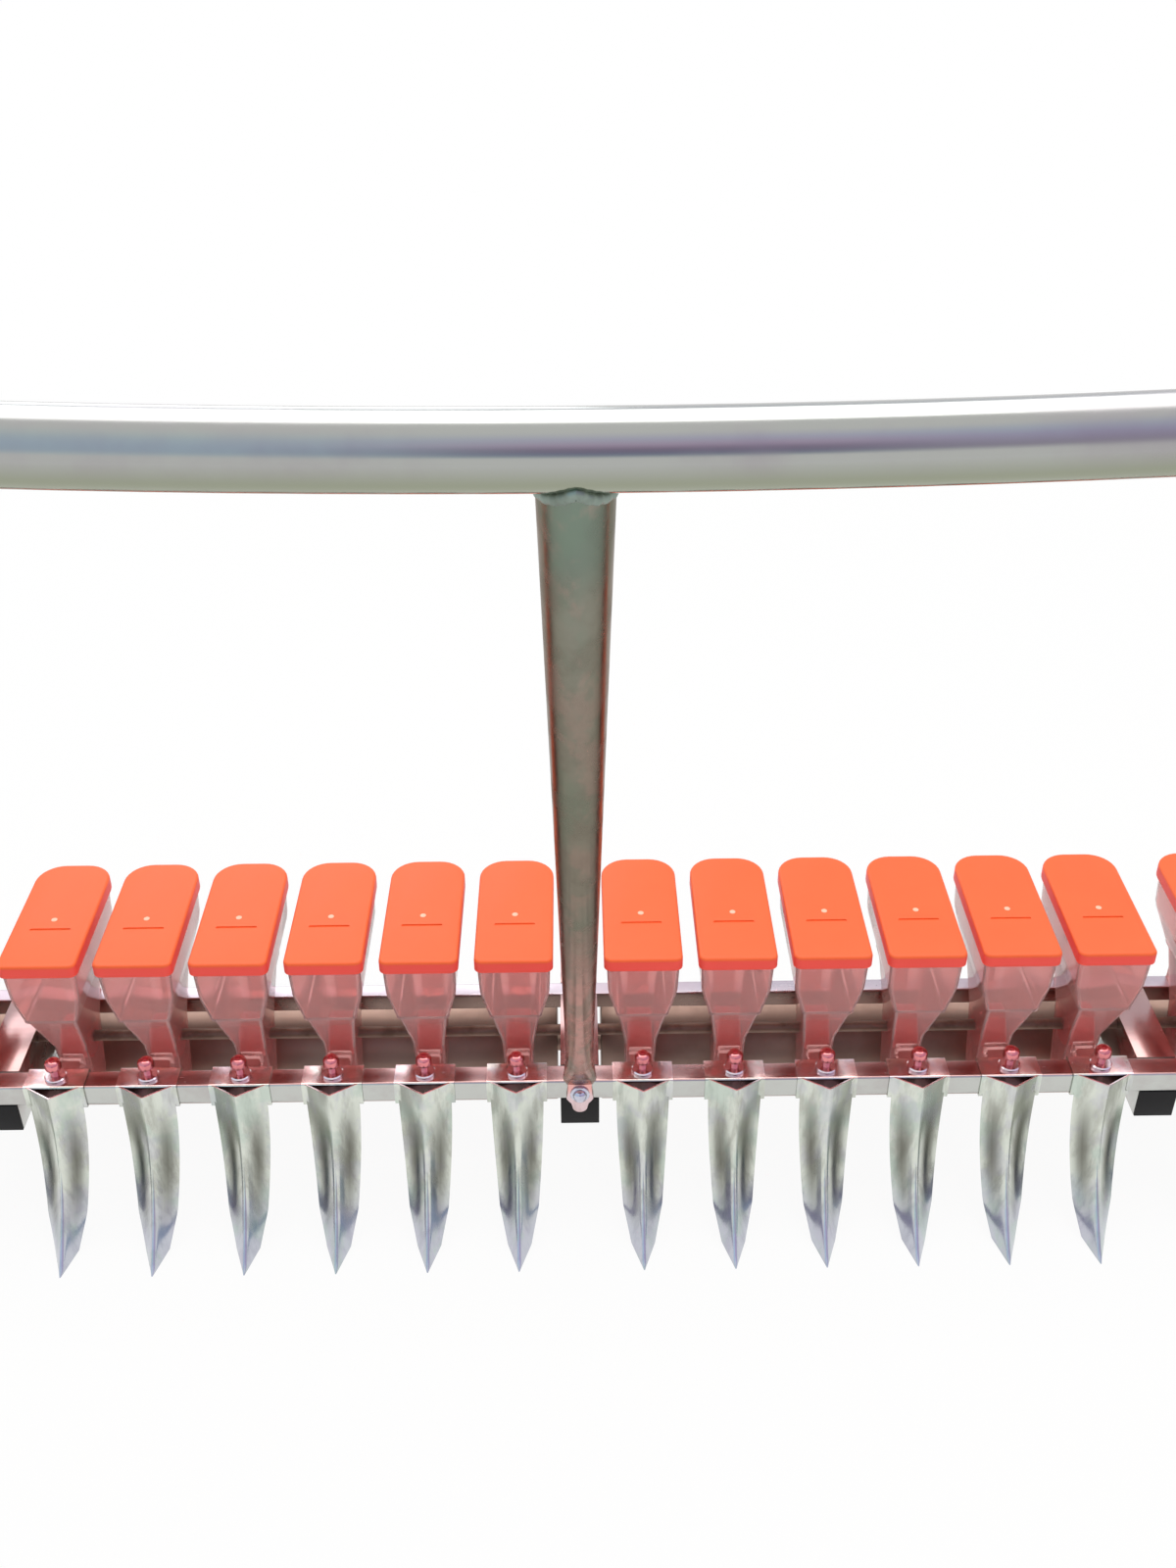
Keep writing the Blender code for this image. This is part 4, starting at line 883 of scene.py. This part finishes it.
def makeLids():
    p = lid
    top, bottom, wall = lidTop - p["dotRise"], lidTop - p["skirt"], p["wall"]

    def outline(grow, z):
        return trayOutline(p["half"] + grow, faceY + p["front"] - grow, faceY + p["rear"] + grow,
                           p["frontCorner"] + grow, p["rearCorner"] + grow, z, p["steps"])

    ceiling, inside, outside = top - wall, p["rimInside"], p["rimOutside"]
    rings = [outline(-wall - p["innerEdge"], ceiling), outline(-wall, ceiling - p["innerEdge"]),
             outline(-wall, bottom + inside), outline(-wall + inside, bottom),
             outline(-outside, bottom), outline(0, bottom + outside)]
    for turn in angles(0, 90, 6):
        rings.append(outline(-p["edge"] * (1 - math.cos(turn)), top - p["edge"] * (1 - math.sin(turn))))
    barrelY = faceY + p["rear"] - p["barrelInset"]
    barrel = [(barrelY, bottom + p["barrelHigh"]), (barrelY, bottom + p["barrelLow"])]
    barrel += arc(hingeAxis.y, hingeAxis.z, p["barrelRadius"], angles(-140, 60, 9))
    pin = rod(-p["pinHalf"], p["pinHalf"], p["pinRadius"], "X", (0, hingeAxis.y, hingeAxis.z), 16)
    rise, radius, dotY = p["dotRise"], p["dotRadius"], faceY + p["dotBack"]
    crown = [(rise * up, radius * out) for up, out in dotCrown]
    dot = turned([(-p["dotSunk"], radius)] + crown, "Z", (0, dotY, top), 24)
    groove = roundedBox(p["grooveHalf"], p["grooveWidth"], p["grooveWidth"] * p["grooveRound"], 4)
    groove = shifted(groove, 0, faceY + p["grooveBack"])
    groove = prism(groove, "Z", top - p["grooveDepth"], top + wall)
    barrel = prism(barrel, "X", -p["barrelHalf"], p["barrelHalf"])
    template = meshOf(carved(loft(rings), added=[barrel, pin, dot], removed=[groove]))

    # Painted highlight on the dot
    def dotHighlightMask(face):
        away = math.hypot(face.center.x, face.center.y - dotY)
        return away < radius * 1.02 and face.center.z > top - 0.0001

    paint(template, "dot", "FACE", dotHighlightMask)
    for name, x in zip(rowNames("lid"), rowX):
        mesh = template.copy()
        mesh.transform(Matrix.Translation((x, 0, 0)))
        finishPiece("orangeLid" + name[3:], mesh, lidPlastic, name, [name], 30)
    print("lids made:", len(template.polygons), "faces each")


# Seed shaft: a steel rod with pitted red rollers
rollers = {"radius": 0.023, "width": 0.026, "rod": 0.006, "fit": 0.0001, "edge": 0.0006, "sides": 72,
           "pitX": 0.006, "pitHalf": 0.0025, "pitDepth": 0.0016, "pitEvery": 4, "rodChamfer": 0.001}


def rollerShape():
    r = rollers
    rim, radius, pitX, pitHalf = r["width"] / 2, r["radius"], r["pitX"], r["pitHalf"]
    half = [(pitX - pitHalf, radius), (pitX, radius), (pitX + pitHalf, radius), (rim - r["edge"], radius),
            (rim, radius - r["edge"]), (rim, r["rod"] + r["fit"])]
    rings = []
    for x, away in [(-x, away) for x, away in reversed(half)] + [(0.0, radius)] + half:
        ring = []
        for k, (u, v) in enumerate(circle(1.0, r["sides"])):
            stagger = r["pitEvery"] // 2 if x > 0 else 0
            pitted = abs(x) == pitX and (k + stagger) % r["pitEvery"] == 0
            reach = away - r["pitDepth"] * pitted
            ring.append((x, reach * u, reach * v))
        rings.append(ring)
    return loft(rings, closed=True)


def makeSeedShaft():
    places = [(x, seedAxis.y, seedAxis.z) for x in rowX]
    copies = makeCopies(meshOf(rollerShape()), places, rollerPlastic)
    finishPiece("seedRollers", copies, rollerPlastic, "seed_drive", ["seed_shaft"])
    radius, chamfer = rollers["rod"], rollers["rodChamfer"]
    shaft = turned([(shaftLow.x, radius - chamfer), (shaftLow.x + chamfer, radius),
                    (shaftHigh.x - chamfer, radius), (shaftHigh.x, radius - chamfer)], "X",
                   (0, seedAxis.y, seedAxis.z), 32)
    finishPiece("seedShaftRod", meshOf(shaft), rodSteel, "seed_drive", ["seed_shaft"])


# Press drum: rolled sections on a through axle
drum = {"radius": 0.065, "wall": 0.002, "lip": 0.0005, "recess": 0.006, "axle": 0.010, "chamfer": 0.001,
        "round": 0.0012, "roundShare": 0.3, "sides": 96, "clear": 0.025, "hanger": 0.6025, "overhang": 0.040,
        "drain": 0.006, "drainShare": 0.6, "drainIn": 0.009, "drainOut": 0.005}


def makeDrum():
    d = drum
    radius, axle, rounding = d["radius"], d["axle"], d["round"]
    part = rounding * d["roundShare"]
    inner = (d["clear"], d["hanger"] - d["clear"])
    outer = (d["hanger"] + d["clear"], rowX[-1] + d["overhang"])
    sections = [(-outer[1], -outer[0]), (-inner[1], -inner[0]), inner, outer]

    def recessedEnd(x, inward):
        return [(x + inward * d["recess"], axle), (x + inward * d["recess"], radius - d["wall"]),
                (x, radius - d["wall"]), (x, radius - d["lip"])]

    profile = [(drumLow.x, axle - d["chamfer"]), (drumLow.x + d["chamfer"], axle)]
    for start, stop in sections:
        first, last = start == sections[0][0], stop == sections[-1][1]
        profile += recessedEnd(start, 1) if first else [(start, axle), (start, radius - rounding)]
        profile += [(start + part, radius - part), (start + rounding, radius),
                    (stop - rounding, radius), (stop - part, radius - part)]
        profile += recessedEnd(stop, -1)[::-1] if last else [(stop, radius - rounding), (stop, axle)]
    profile += [(drumHigh.x - d["chamfer"], axle), (drumHigh.x, axle - d["chamfer"])]
    body = turned(profile, "X", tuple(drumAxis), d["sides"])
    drains = []
    for start, stop in sections:
        low, high = stop - d["drainIn"], stop + d["drainOut"]
        if stop < 0:
            low, high = start - d["drainOut"], start + d["drainIn"]
        place = (0, drumAxis.y, drumAxis.z + radius * d["drainShare"])
        drains.append(rod(low, high, d["drain"], "X", place, 24))
    mesh = meshOf(carved(body, removed=drains))
    finishPiece("pressDrum", mesh, drumSteel, "drum", ["press_drum"])


# Chain drive: sprockets and links, on a belt line round both wheels
drive = {"pitch": 0.0127, "links": 34, "largeTeeth": 16, "smallTeeth": 12, "roller": 0.0039,
         "plateThick": 0.0011, "innerWidth": 0.0052, "plateHalf": 0.0044, "waist": 0.0031, "pin": 0.0019,
         "pinEnd": 0.0005, "play": 0.0001, "seatPlay": 0.0003, "toothHeight": 0.0027, "toothTip": 0.0009,
         "toothBevel": 0.985, "sprocketThick": 0.0034, "sprocketEdge": 0.0007, "hubRadius": 0.014,
         "hubHalf": 0.0045, "hubChamfer": 0.0008, "plateEdge": 0.0002, "pinChamfer": 0.0003,
         "waistTurn": 55, "seatTurn": 62}
largeRadius = drive["largeTeeth"] * drive["pitch"] / (2 * math.pi)
smallRadius = drive["smallTeeth"] * drive["pitch"] / (2 * math.pi)
between = math.hypot(drumAxis.y - seedAxis.y, drumAxis.z - seedAxis.z)
heading = math.atan2(drumAxis.z - seedAxis.z, drumAxis.y - seedAxis.y)


def loopLegs(small, large):
    # The tilt of the straight runs, and each leg's length from where the small wheel's arc begins
    tilt = math.asin((large - small) / between)
    straight = math.sqrt(between ** 2 - (large - small) ** 2)
    return tilt, [small * (math.pi - 2 * tilt), straight, large * (math.pi + 2 * tilt), straight]


def loopPoint(distance, small=smallRadius, large=largeRadius):
    # Place and outward direction at a distance round the line
    tilt, legs = loopLegs(small, large)
    upper, lower = heading + math.pi / 2 + tilt, heading - math.pi / 2 - tilt
    distance %= sum(legs)
    leg = 0
    while distance >= legs[leg]:
        distance -= legs[leg]
        leg += 1

    def onWheel(axis, radius, angle):
        return axis.y + radius * math.cos(angle), axis.z + radius * math.sin(angle)

    if leg == 0:
        angle = upper + distance / small
        return onWheel(seedAxis, small, angle), angle
    if leg == 2:
        angle = lower + distance / large
        return onWheel(drumAxis, large, angle), angle
    angle = lower if leg == 1 else upper
    share = distance / legs[leg] if leg == 1 else 1 - distance / legs[leg]
    start, stop = onWheel(seedAxis, small, angle), onWheel(drumAxis, large, angle)
    return (start[0] + (stop[0] - start[0]) * share, start[1] + (stop[1] - start[1]) * share), angle


def linkShape(isOuter):
    # Two waisted plates with pins or rollers between them, one pitch apart along Y
    d = drive
    near = d["innerWidth"] / 2 + (d["plateThick"] + d["play"] if isOuter else 0.0)
    far = near + d["plateThick"] - d["play"]
    turn, pitch, half = d["waistTurn"], d["pitch"], d["plateHalf"]
    plate = arc(0, 0, half, angles(turn, 360 - turn, 13)) + [(pitch / 2, -d["waist"])]
    plate += arc(pitch, 0, half, angles(180 + turn, 540 - turn, 13)) + [(pitch / 2, d["waist"])]
    parts = [softened(prism(plate, "X", side * near, side * far), d["plateEdge"], 1, 50) for side in (-1, 1)]
    for y in (0.0, pitch):
        if isOuter:
            reach, end = near + d["plateThick"] + d["pinEnd"], d["pin"] - d["pinEnd"]
            inward = reach - d["pinChamfer"]
            pin = [(-reach, end), (-inward, d["pin"]), (inward, d["pin"]), (reach, end)]
            parts.append(turned(pin, "X", (0, y, 0), 16))
        else:
            parts.append(rod(-near + d["play"], near - d["play"], d["roller"], "X", (0, y, 0), 20))
    return joined(parts)


def sprocketShape(teeth, bore):
    d = drive
    pitchRadius = teeth * d["pitch"] / (2 * math.pi)
    seat, turns = d["roller"] + d["seatPlay"], angles(-d["seatTurn"], d["seatTurn"], 7)
    outline = []
    for k in range(teeth):
        middle = 2 * math.pi * k / teeth
        corners = [(pitchRadius - seat * math.cos(a), seat * math.sin(a), middle) for a in turns]
        for sideways in (-d["toothTip"], d["toothTip"]):
            corners.append((pitchRadius + d["toothHeight"], sideways, middle + math.pi / teeth))
        for out, sideways, turn in corners:
            outline.append((out * math.cos(turn) - sideways * math.sin(turn),
                            out * math.sin(turn) + sideways * math.cos(turn)))
    half, edge, bevel = d["sprocketThick"] / 2, d["sprocketEdge"], d["toothBevel"]
    plate = loft([[(x, u * s, v * s) for u, v in outline]
                  for x, s in ((-half, bevel), (-half + edge, 1.0), (half - edge, 1.0), (half, bevel))])
    end, radius, chamfer = -d["hubHalf"], d["hubRadius"], d["hubChamfer"]
    hub = turned([(end, radius - chamfer), (end + chamfer, radius), (0, radius)], "X", origin, 40)
    hole = rod(-0.02, 0.02, bore + d["play"], "X", origin, 40)
    return carved(plate, added=[hub], removed=[hole])


def makeChainDrive():
    d = drive
    pins = [loopPoint(k * d["pitch"])[0] for k in range(d["links"])]
    chain = bmesh.new()
    for isOuter in (True, False):
        places, turns = [], []
        for k in range(isOuter, d["links"], 2):
            (y0, z0), (y1, z1) = pins[k], pins[(k + 1) % d["links"]]
            places.append((chainX, y0, z0))
            turns.append((math.atan2(z1 - z0, y1 - y0), 0.0, 0.0))
        chain.from_mesh(makeCopies(meshOf(linkShape(isOuter)), places, chainSteel, turns))
    links = bpy.data.meshes.new("chainLinks")
    chain.to_mesh(links)
    chain.free()
    finishPiece("chainLinks", links, chainSteel, "frame", ["drive_chain"])
    reachesDrum = sum(loopLegs(smallRadius, largeRadius)[1][:2])
    firstOnDrum = math.ceil(reachesDrum / d["pitch"]) * d["pitch"]
    for name, teeth, bore, axis, place, body, node in (
            ("drumSprocket", d["largeTeeth"], drum["axle"], drumAxis, firstOnDrum, "drum", "drum_sprocket"),
            ("shaftSprocket", d["smallTeeth"], rollers["rod"], seedAxis, 0, "seed_drive", "shaft_sprocket")):
        wheel = meshOf(sprocketShape(teeth, bore))
        wheel.transform(Matrix.Translation((chainX, axis.y, axis.z))
                        @ Matrix.Rotation(loopPoint(place)[1], 4, "X"))
        finishPiece(name, wheel, chainSteel, body, [node])


# Guard: a sheet pan round the chain, with a lug and a screw on the rear bar's end
guard = {"sheet": 0.0015, "room": 0.005, "plateHalf": 0.0046, "round": 0.003, "points": 88,
         "lugCorner": 0.002, "flange": 0.0054, "flangeThick": 0.0004, "headRise": 0.0006,
         "headHeight": 0.0022, "headRadius": 0.0052, "headRound": 0.0040, "recess": 0.0010,
         "recessDepth": 0.0012, "screwSunk": 0.0002}


def makeGuard():
    g = guard

    def around(grow, x):
        small, large = smallRadius + g["plateHalf"] + grow, largeRadius + g["plateHalf"] + grow
        total = sum(loopLegs(small, large)[1])
        return [(x, *loopPoint(total * k / g["points"], small, large)[0]) for k in range(g["points"])]

    def edge(grow, x, radius, turn):
        return around(grow - radius * (1 - math.cos(turn)), x - radius * (1 - math.sin(turn)))

    outside, inside, sheet = g["room"] + g["sheet"], g["room"], g["sheet"]
    turns = angles(0, 90, 5)
    rings = [edge(inside, guardHigh.x - sheet, g["round"] - sheet, turn) for turn in reversed(turns)]
    rings += [around(inside, guardLow.x), around(outside, guardLow.x)]
    rings += [edge(outside, guardHigh.x, g["round"], turn) for turn in turns]
    lug = shifted(roundedBox(rearSize / 2, rearSize / 2, g["lugCorner"], 4), *rearMiddle)
    face, flange, thick = guardLow.x + sheet, g["flange"], g["flangeThick"]
    pan = carved(loft(rings), added=[prism(lug, "X", guardLow.x, face)])
    finishPiece("chainGuard", meshOf(pan), sheetSteel, "frame", ["chain_guard"])
    profile = [(face - g["screwSunk"], 0.0), (face, flange - thick), (face + thick, flange)]
    for turn in angles(0, 90, 6):
        profile.append((face + g["headRise"] + g["headHeight"] * math.sin(turn),
                        g["headRadius"] - g["headRound"] * (1 - math.cos(turn))))
    head = face + g["headRise"] + g["headHeight"]
    floor = head - g["recessDepth"]
    profile += [(head, g["recess"]), (floor, g["recess"]), (floor, 0.0)]
    screw = turned(profile, "X", (0, *rearMiddle), 24)
    finishPiece("guardScrew", meshOf(screw), pivotSteel, "frame")


# Handle: leaning tube, flattened at its foot, under a slightly bowed crossbar
handle = {"tube": 0.0125, "barY": -0.746, "barZ": 1.147, "halfLength": 0.300, "rise": 0.010,
          "flatThick": 0.0024, "gap": 0.0003, "tabRadius": 0.008, "tabDrop": 0.031, "sides": 56,
          "bendStations": 25, "boltHole": 0.0042, "flatLength": 0.09, "flatSquare": 1.4,
          "tongueEdge": 0.0006, "weldRadius": 0.0022, "weldPitch": 0.0034, "weldSwell": 0.08,
          "weldPoints": 48, "weldLow": 0.003, "weldSearch": 0.05, "weldSteps": 30, "weldSeed": 11,
          "puddlePoints": 4.0}
# Half widths and half thicknesses up the post, and where its rings stand
postWidths = [(0.0, 0.0140), (0.035, 0.0168), (0.085, 0.0152), (0.145, 0.0130), (0.20, handle["tube"])]
postThicks = [(0.0, 0.0019), (0.030, 0.0040), (0.085, 0.0092), (0.145, 0.0121), (0.20, handle["tube"])]
postStations = [0.0, 0.006, 0.012, 0.018, 0.025, 0.032, 0.04, 0.05, 0.06, 0.07, 0.08, 0.09, 0.10, 0.11, 0.12,
                0.135, 0.15, 0.17, 0.20, 0.30, 0.45, 0.65, 0.85, 1.05]
# Tongue on the bar's face: half width and height from the bar's top
tongueSide = [(0.0150, 0.016), (0.0128, 0.006), (0.0122, -0.003), (0.0128, -0.012), (0.0140, -0.020),
              (0.0118, -0.0235), (0.0092, -0.0265)]
# Caps: a spigot in the tube, then a rounded disc, as (outward from the tube's end, radius)
capProfile = [(-0.014, 0.0104), (0.0003, 0.0104), (0.0003, handle["tube"]), (0.0035, handle["tube"]),
              (0.0046, handle["tube"] - 0.0008), (0.0052, handle["tube"] - 0.0020),
              (0.0053, handle["tube"] - 0.0035)]
tabFront, tabBack = faceY - handle["gap"] - 2 * handle["flatThick"], faceY - handle["gap"]
postFoot = Vector((0, faceY - handle["gap"] - handle["flatThick"], barTop))
postHead = Vector((0, faceY + handle["barY"], handle["barZ"]))
postLength = (postHead - postFoot).length
postLean = (postHead - postFoot).normalized()
across = Vector((1, 0, 0))
postOut = across.cross(postLean)


def postRing(along, halfWidth, halfThick, shape):
    # A ring square to the post; shape above 2 squares it off
    ring = []
    for c, s in circle(1.0, handle["sides"]):
        u, v = (math.copysign(abs(part) ** (2 / shape), part) for part in (c, s))
        ring.append(tuple(postFoot + postLean * along + across * halfWidth * u + postOut * halfThick * v))
    return ring


def crossbarRise(x):
    return handle["rise"] * (min(abs(x), handle["halfLength"]) / handle["halfLength"]) ** 2


def crossbarRing(x, radius):
    middleY, middleZ = faceY + handle["barY"], handle["barZ"] + crossbarRise(x)
    return [(x, middleY + u, middleZ + v) for u, v in circle(radius, handle["sides"])]


def smoothMix(points, value):
    # Follows a short table of (place, size) pairs with eased steps
    for (a, low), (b, high) in zip(points, points[1:]):
        if value <= b:
            share = (value - a) / (b - a)
            return low + (high - low) * (share * share * (3 - 2 * share))
    return points[-1][1]


def undersideShadeMask(point):
    # Painted shade on the lower half of the crossbar
    drop = (handle["barZ"] + crossbarRise(point.co.x) - point.co.z) / handle["tube"]
    return clamped(drop / 0.5)


def makeCrossbar():
    last = handle["bendStations"] - 1
    stations = [(-1 + 2 * k / last) * handle["halfLength"] for k in range(last + 1)]
    mesh = meshOf(loft([crossbarRing(x, handle["tube"]) for x in stations]))
    # Painted shade on the crossbar's underside
    paint(mesh, "under", "POINT", undersideShadeMask)
    finishPiece("handleCrossbar", mesh, crossbarSteel, "handle", ["pull_handle"], 36)


def makeHandleCaps():
    for side, label in ((-1, "left"), (1, "right")):
        rings = [crossbarRing(side * (handle["halfLength"] + out), radius) for out, radius in capProfile]
        finishPiece(label + "HandleCap", meshOf(loft(rings)), plugPlastic, "handle",
                    [label + "_handle_cap"])


def makePost():
    p = handle
    rings = []
    for along in postStations + [postLength]:
        squareness = 2.0 + p["flatSquare"] * max(0.0, 1 - along / p["flatLength"])
        rings.append(postRing(along, smoothMix(postWidths, along), smoothMix(postThicks, along), squareness))
    # The tongue ends in a round tab
    outline = [(x, barTop + z) for x, z in tongueSide]
    outline += arc(0, barTop - p["tabDrop"], p["tabRadius"], angles(0, -180, 13))
    outline += [(-x, barTop + z) for x, z in reversed(tongueSide)]
    tongue = softened(prism(outline, "Y", tabBack, tabFront), p["tongueEdge"], 2, 50)
    hole = rod(-0.04, 0.02, p["boltHole"], "Y", tuple(swivelAxis), 24)
    body = meshOf(carved(loft(rings), added=[tongue], removed=[hole]))
    finishPiece("handlePost", body, postSteel, "handle", ["pull_handle"], 36)


def makeHandleWeld():
    # The bead's path: where lines along the post's surface meet the crossbar's surface
    p = handle
    path = []
    for c, s in circle(1.0, p["weldPoints"]):
        start = postFoot + across * p["tube"] * c + postOut * p["tube"] * s
        low, high = postLength - p["weldSearch"], postLength
        for _ in range(p["weldSteps"]):
            middle = (low + high) / 2
            point = start + postLean * middle
            if math.hypot(point.y - postHead.y, point.z - postHead.z) > p["tube"]:
                low = middle
            else:
                high = middle
        path.append(start + postLean * (low - p["weldLow"] * abs(s)))
    line = bpy.data.meshes.new("line")
    edges = [(k, k + 1) for k in range(len(path) - 1)] + [(len(path) - 1, 0)]
    line.from_pydata([tuple(place) for place in path], edges, [])
    bead = runTree(beadGroup, line, {
        "Bead Radius": p["weldRadius"], "Puddle Pitch": p["weldPitch"], "Swell": p["weldSwell"],
        "Seed": p["weldSeed"], "Points Per Puddle": p["puddlePoints"], "Material": weldSteel})
    finishPiece("crossbarWeld", bead, weldSteel, "handle")


# Handle bolt: a round head with a flange, measured from the tab's face, and a nut behind the bar
handleBolt = {"head": [(-0.0085, 0.0008), (-0.0085, 0.0026), (-0.0078, 0.0047), (-0.0062, 0.0066),
                       (-0.0040, 0.0074), (-0.0022, 0.0075), (-0.0018, 0.0096), (-0.0012, 0.0100),
                       (0.0, 0.0100)],
              "seat": 0.0003, "shank": 0.0040, "end": 0.0080, "endTaper": 0.0008, "endInset": 0.0007,
              "nutRadius": 0.0075, "nutThick": 0.0065, "nutEdge": 0.0005}


def makeHandleBolt():
    b = handleBolt
    seat, end = tabFront - b["seat"] - faceY, barSize + b["end"]
    profile = [(seat + along, radius) for along, radius in b["head"]]
    profile += [(seat, b["shank"]), (end - b["endTaper"], b["shank"]), (end, b["shank"] - b["endInset"])]
    bolt = turned(profile, "Y", (0, faceY, swivelAxis.z), 40)
    nutY = faceY + barSize + b["seat"]
    hexagon = shifted(circle(b["nutRadius"], 6), 0, swivelAxis.z)
    nut = softened(prism(hexagon, "Y", nutY, nutY + b["nutThick"]), b["nutEdge"], 2, 40)
    mesh = meshOf(joined([bolt, nut]))
    finishPiece("handleBolt", mesh, pivotSteel, "frame", ["handle_bolt"])


makeBars()
makeMembers()
print("bars and members made")
makeOpeners()
makeSetBolts()
makeHoppers()
makeLids()
makeSeedShaft()
makeDrum()
print("seed shaft and drum made")
makeChainDrive()
makeGuard()
print("chain drive made")
makeCrossbar()
makePost()
makeHandleWeld()
makeHandleCaps()
makeHandleBolt()
print("handle made")


# Studio: a floor and surroundings that are white wherever they are seen, under soft lamps
studio = {"floor": (0.88, 0.88, 0.87), "floorRoughness": 0.85, "floorSpecular": 0.1, "floorSize": 60.0,
          "nearShare": 0.94, "fadeFrom": 0.9, "fadeTo": 3.2, "fill": (0.42, 0.41, 0.41),
          "lampsFace": (0, 0, 0.3)}
white = (1.0, 1.0, 1.0)
# What metal mirrors, by height: (place from below to overhead, colour)
skies = {
    "left": [(0.0, white), (0.50, white), (0.53, (0.86, 0.95, 1.0)), (0.60, (0.66, 0.80, 0.96)),
             (0.74, (0.68, 0.82, 1.0)), (0.84, (0.74, 0.88, 1.0)), (0.92, (0.90, 0.98, 1.0)), (0.97, white)],
    "centre": [(0.0, white), (0.50, white), (0.53, (0.42, 0.50, 0.62)), (0.59, (0.28, 0.28, 0.44)),
               (0.68, (0.38, 0.29, 0.44)), (0.77, (0.72, 0.56, 0.78)), (0.87, (0.78, 0.76, 0.98)),
               (0.96, white)],
    "right": [(0.0, white), (0.50, white), (0.53, (0.80, 0.78, 0.84)), (0.59, (0.54, 0.49, 0.62)),
              (0.70, (0.62, 0.57, 0.78)), (0.80, (0.66, 0.64, 0.90)), (0.89, (0.76, 0.82, 1.0)),
              (0.96, white)],
    "behind": [(0.0, white), (0.55, white), (0.66, (0.88, 0.90, 0.96)), (0.85, (0.86, 0.90, 0.98)),
               (0.96, white)]}
# Each sky takes over from the ones before it between two values along an axis
skyEdges = [("centre", "X", -0.16, -0.02), ("right", "X", 0.12, 0.24), ("behind", "Y", -0.15, 0.25)]
# Name, place, width, depth, power, colour and whether metal mirrors it
lamps = [("topLamp", (0.0, 1.0, 3.2), 5.0, 2.6, 90.0, (1.0, 0.99, 0.98), True),
         ("frontLamp", (1.5, -3.2, 2.4), 1.8, 1.8, 32.0, white, False),
         ("rearLamp", (-1.0, 3.0, 2.0), 2.2, 1.2, 14.0, (0.97, 0.98, 1.0), True)]


def floorMaterial():
    # White to rays that show it, by sight or by way of metal or clear plastic; a pale floor to all others
    material = bpy.data.materials.new("studioFloor")
    material.use_nodes = True
    tree = material.node_tree
    shader = tree.nodes["Principled BSDF"]
    for label, value in (("Base Color", studio["floor"]), ("Roughness", studio["floorRoughness"]),
                         ("Specular IOR Level", studio["floorSpecular"])):
        feed(tree, shader.inputs[label], value)
    distance = addNode(tree, "ShaderNodeVectorMath", operation="LENGTH")
    tree.links.new(addNode(tree, "ShaderNodeTexCoord").outputs["Object"], distance.inputs[0])
    fade = smoothShare(tree, distance.outputs["Value"], studio["fadeFrom"], studio["fadeTo"],
                       studio["nearShare"])
    glow = addNode(tree, "ShaderNodeEmission", Strength=1.0, Color=white)
    rays = addNode(tree, "ShaderNodeLightPath").outputs
    mirrored = mathStep(tree, "MAXIMUM", rays["Is Glossy Ray"], rays["Is Transmission Ray"])
    shown = mathStep(tree, "MAXIMUM", rays["Is Camera Ray"], mirrored)
    both = shaderMix(tree, times(tree, shown, fade), shader.outputs[0], glow.outputs[0])
    tree.links.new(both, tree.nodes["Material Output"].inputs["Surface"])
    return material


def skyRamp(tree, height, stops):
    ramp = addNode(tree, "ShaderNodeValToRGB", Fac=height)
    while len(ramp.color_ramp.elements) < len(stops):
        ramp.color_ramp.elements.new(0.5)
    for element, (place, color) in zip(ramp.color_ramp.elements, stops):
        element.position, element.color = place, (*color, 1.0)
    return ramp.outputs["Color"]


def makeWorld():
    # Metal mirrors a room: pale blue, purple and grey on the puller's side, white below, behind and overhead
    world = bpy.data.worlds.new("studioWorld")
    world.use_nodes = True
    tree = world.node_tree
    tree.nodes.clear()
    output = addNode(tree, "ShaderNodeOutputWorld")
    place = addNode(tree, "ShaderNodeTexCoord").outputs["Generated"]
    split = addNode(tree, "ShaderNodeSeparateXYZ", Vector=place).outputs
    height = plus(tree, times(tree, split["Z"], 0.5), 0.5)
    ramps = {side: skyRamp(tree, height, stops) for side, stops in skies.items()}
    room = ramps["left"]
    for side, axis, low, high in skyEdges:
        room = colorMix(tree, smoothShare(tree, split[axis], low, high), room, ramps[side])
    rays = addNode(tree, "ShaderNodeLightPath").outputs
    direct = mathStep(tree, "MAXIMUM", rays["Is Camera Ray"], rays["Is Transmission Ray"])
    fill, mirrored, plain = [addNode(tree, "ShaderNodeBackground", Strength=1.0, Color=color).outputs[0]
                             for color in (studio["fill"], room, white)]
    lit = shaderMix(tree, rays["Is Glossy Ray"], fill, mirrored)
    tree.links.new(shaderMix(tree, direct, lit, plain), output.inputs["Surface"])
    bpy.context.scene.world = world


def makeStudio():
    half = studio["floorSize"] / 2
    mesh = bpy.data.meshes.new("studioFloor")
    corners = [(-half, -half, 0), (half, -half, 0), (half, half, 0), (-half, half, 0)]
    mesh.from_pydata(corners, [], [(0, 1, 2, 3)])
    mesh.materials.append(floorMaterial())
    floor = bpy.data.objects.new("studioFloor", mesh)
    bpy.context.scene.collection.objects.link(floor)
    for name, place, wide, deep, power, color, mirrored in lamps:
        data = bpy.data.lights.new(name, "AREA")
        data.shape, data.size, data.size_y = "RECTANGLE", wide, deep
        data.energy, data.color = power, color
        lamp = bpy.data.objects.new(name, data)
        lamp.location = place
        lamp.rotation_mode = "QUATERNION"
        lamp.rotation_quaternion = (Vector(studio["lampsFace"]) - Vector(place)).to_track_quat("-Z", "Y")
        bpy.context.scene.collection.objects.link(lamp)
        lamp.visible_glossy = mirrored
    makeWorld()
    bpy.context.scene.view_settings.view_transform = "Standard"


makeStudio()
print("studio made")
